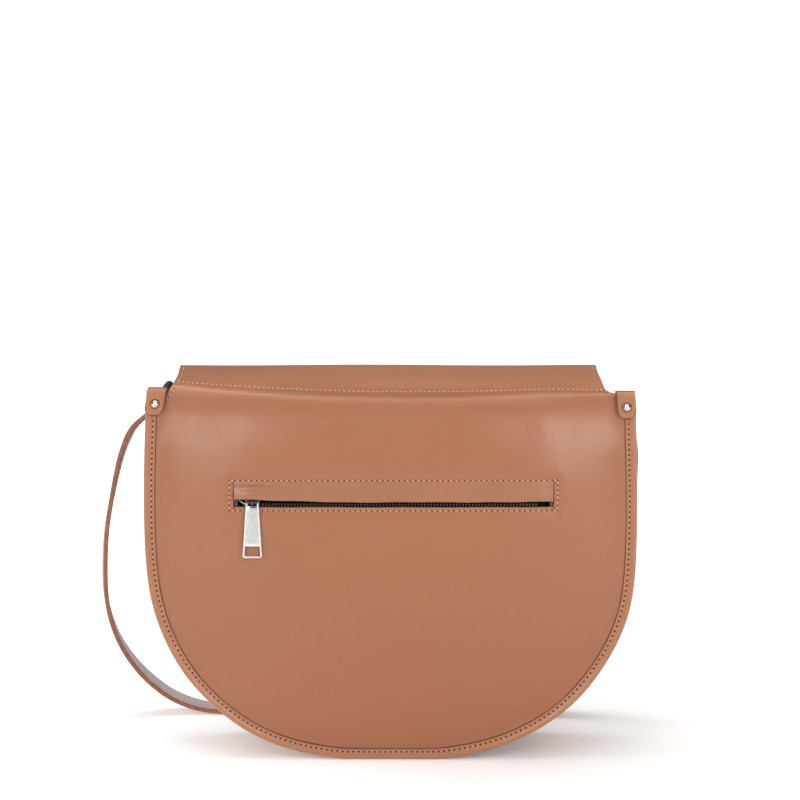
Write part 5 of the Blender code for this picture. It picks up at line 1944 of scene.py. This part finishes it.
def settle(obj):
    points = np.empty(len(obj.data.vertices) * 3)
    obj.data.vertices.foreach_get("co", points)
    points = points.reshape(-1, 3)
    x, y, z = points.T.copy()
    behind = 1 - smoothStep(y, 0.020, 0.065)
    left, right = [sum(size * hump(z, middle, width) for size, middle, width in uneven[way])
                   for way in ("left", "right")]
    right = right + uneven["rightTop"] * smoothStep(z, 0.200, 0.235)
    points[:, 0] += np.where(x < 0, left, right) * smoothStep(np.abs(x), 0.04, 0.14) * behind
    corner = smoothStep(np.abs(x), 0.095, 0.146) * smoothStep(z, 0.170, 0.234)
    corner = corner * (1 - smoothStep(y, 0.008, 0.030))
    points[:, 2] += np.where(x < 0, uneven["lift"]["left"], uneven["lift"]["right"]) * corner
    obj.data.vertices.foreach_set("co", points.ravel())
    obj.data.update()


for obj in bpy.context.scene.objects:
    if obj.type == "MESH" and obj.name not in cadNames:
        settle(obj)
print("settled")


# camera, light and floor

view = {
    "distance": 2.600,
    "pitch": math.radians(9.5),
    "aim": (0.006, 0.0, 0.2325),
    "sensor": 36,
    "focal": 4127 * 36 / 800,     # 4127 pixels in a frame 800 pixels wide
}


def makeCamera():
    data = bpy.data.cameras.new("camera")
    data.lens = view["focal"]
    data.sensor_width = view["sensor"]
    data.clip_end = 50
    camera = linked("camera", data)
    away = Vector((0, -math.cos(view["pitch"]), math.sin(view["pitch"])))
    camera.location = Vector(view["aim"]) + view["distance"] * away
    camera.rotation_euler = (math.pi / 2 - view["pitch"], 0, 0)
    bpy.context.scene.camera = camera


def softLight(name, place, aim, size, power):
    data = bpy.data.lights.new(name, "AREA")
    data.shape = "RECTANGLE"
    data.size, data.size_y = size
    data.energy = power
    light = linked(name, data)
    light.location = place
    light.rotation_euler = (Vector(aim) - Vector(place)).to_track_quat("-Z", "Y").to_euler()


studio = {
    "world": 0.16,
    "aim": (0, 0.03, 0.13),
    "sides": ((-0.900, -1.440, 0.82), (0.900, -1.440, 0.82)),
    "sideSize": (0.75, 1.30),
    "sidePower": (13.8, 15.8),
    "top": (0, 0.05, 1.50),
    "topSize": (2.0, 1.3),
    "topPower": 18.0,
    "floorSize": 12,
    "floorSink": 0.0002,
    # light that the floor adds itself: under the bag, to its left, and far off
    "floorNear": 0.14,
    "floorLeft": 0.42,
    "floorFar": 0.95,
    "floorGrey": 0.66,       # its tone in front of the bag, so that it throws less light on the panel
}


def grey(value):
    return rgba((value, value, value))


def floorPaint():
    floor = Finish("floorPaint", Roughness=0.9, **{"Specular IOR Level": 0.1, "Emission Strength": 1.0})
    speck = floor.noise(6.0)
    away = floor.node("ShaderNodeVectorMath", {"operation": "LENGTH"}, {0: floor.place()}, output=1)
    across, depth = [floor.node("ShaderNodeSeparateXYZ", inputs={0: floor.place()}, output=axis)
                     for axis in (0, 1)]
    shade = floor.spread(depth, -4.5, -1.2) * (1 - floor.spread(depth, -0.60, -0.05))
    beyond = 1 - shade * (1 - floor.spread(across * across, 0.5, 6.0))
    near, left, far = [grey(studio[key]) for key in ("floorNear", "floorLeft", "floorFar")]
    glow = floor.blend(floor.spread(across, -0.16, 0.04), left, near)
    glow = floor.blend(floor.spread(away, 0.15, 0.7), glow, far)
    glow = floor.blend(beyond, grey(0), glow)
    tone = floor.blend(speck, grey(0.93), grey(0.95))
    return floor.feed(Base_Color=floor.blend(beyond, grey(studio["floorGrey"]), tone), Emission_Color=glow)


def makeStudio():
    world = bpy.data.worlds.new("studio")
    world.use_nodes = True
    sky = world.node_tree.nodes["Background"].inputs
    sky["Color"].default_value = (1, 1, 1, 1)
    sky["Strength"].default_value = studio["world"]
    bpy.context.scene.world = world
    for name, place, power in zip(("leftBox", "rightBox"), studio["sides"], studio["sidePower"]):
        softLight(name, place, studio["aim"], studio["sideSize"], power)
    softLight("topBox", studio["top"], studio["aim"], studio["topSize"], studio["topPower"])
    mesh = bpy.data.meshes.new("floor")
    size = studio["floorSize"]
    corners = [(-size, -size, 0), (size, -size, 0), (size, size, 0), (-size, size, 0)]
    mesh.from_pydata(corners, [], [(0, 1, 2, 3)])
    mesh.materials.append(floorPaint())
    obj = linked("floor", mesh)
    obj.location.z = -studio["floorSink"]
    bpy.context.scene.view_settings.view_transform = "Standard"


makeCamera()
makeStudio()
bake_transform(backSkin)
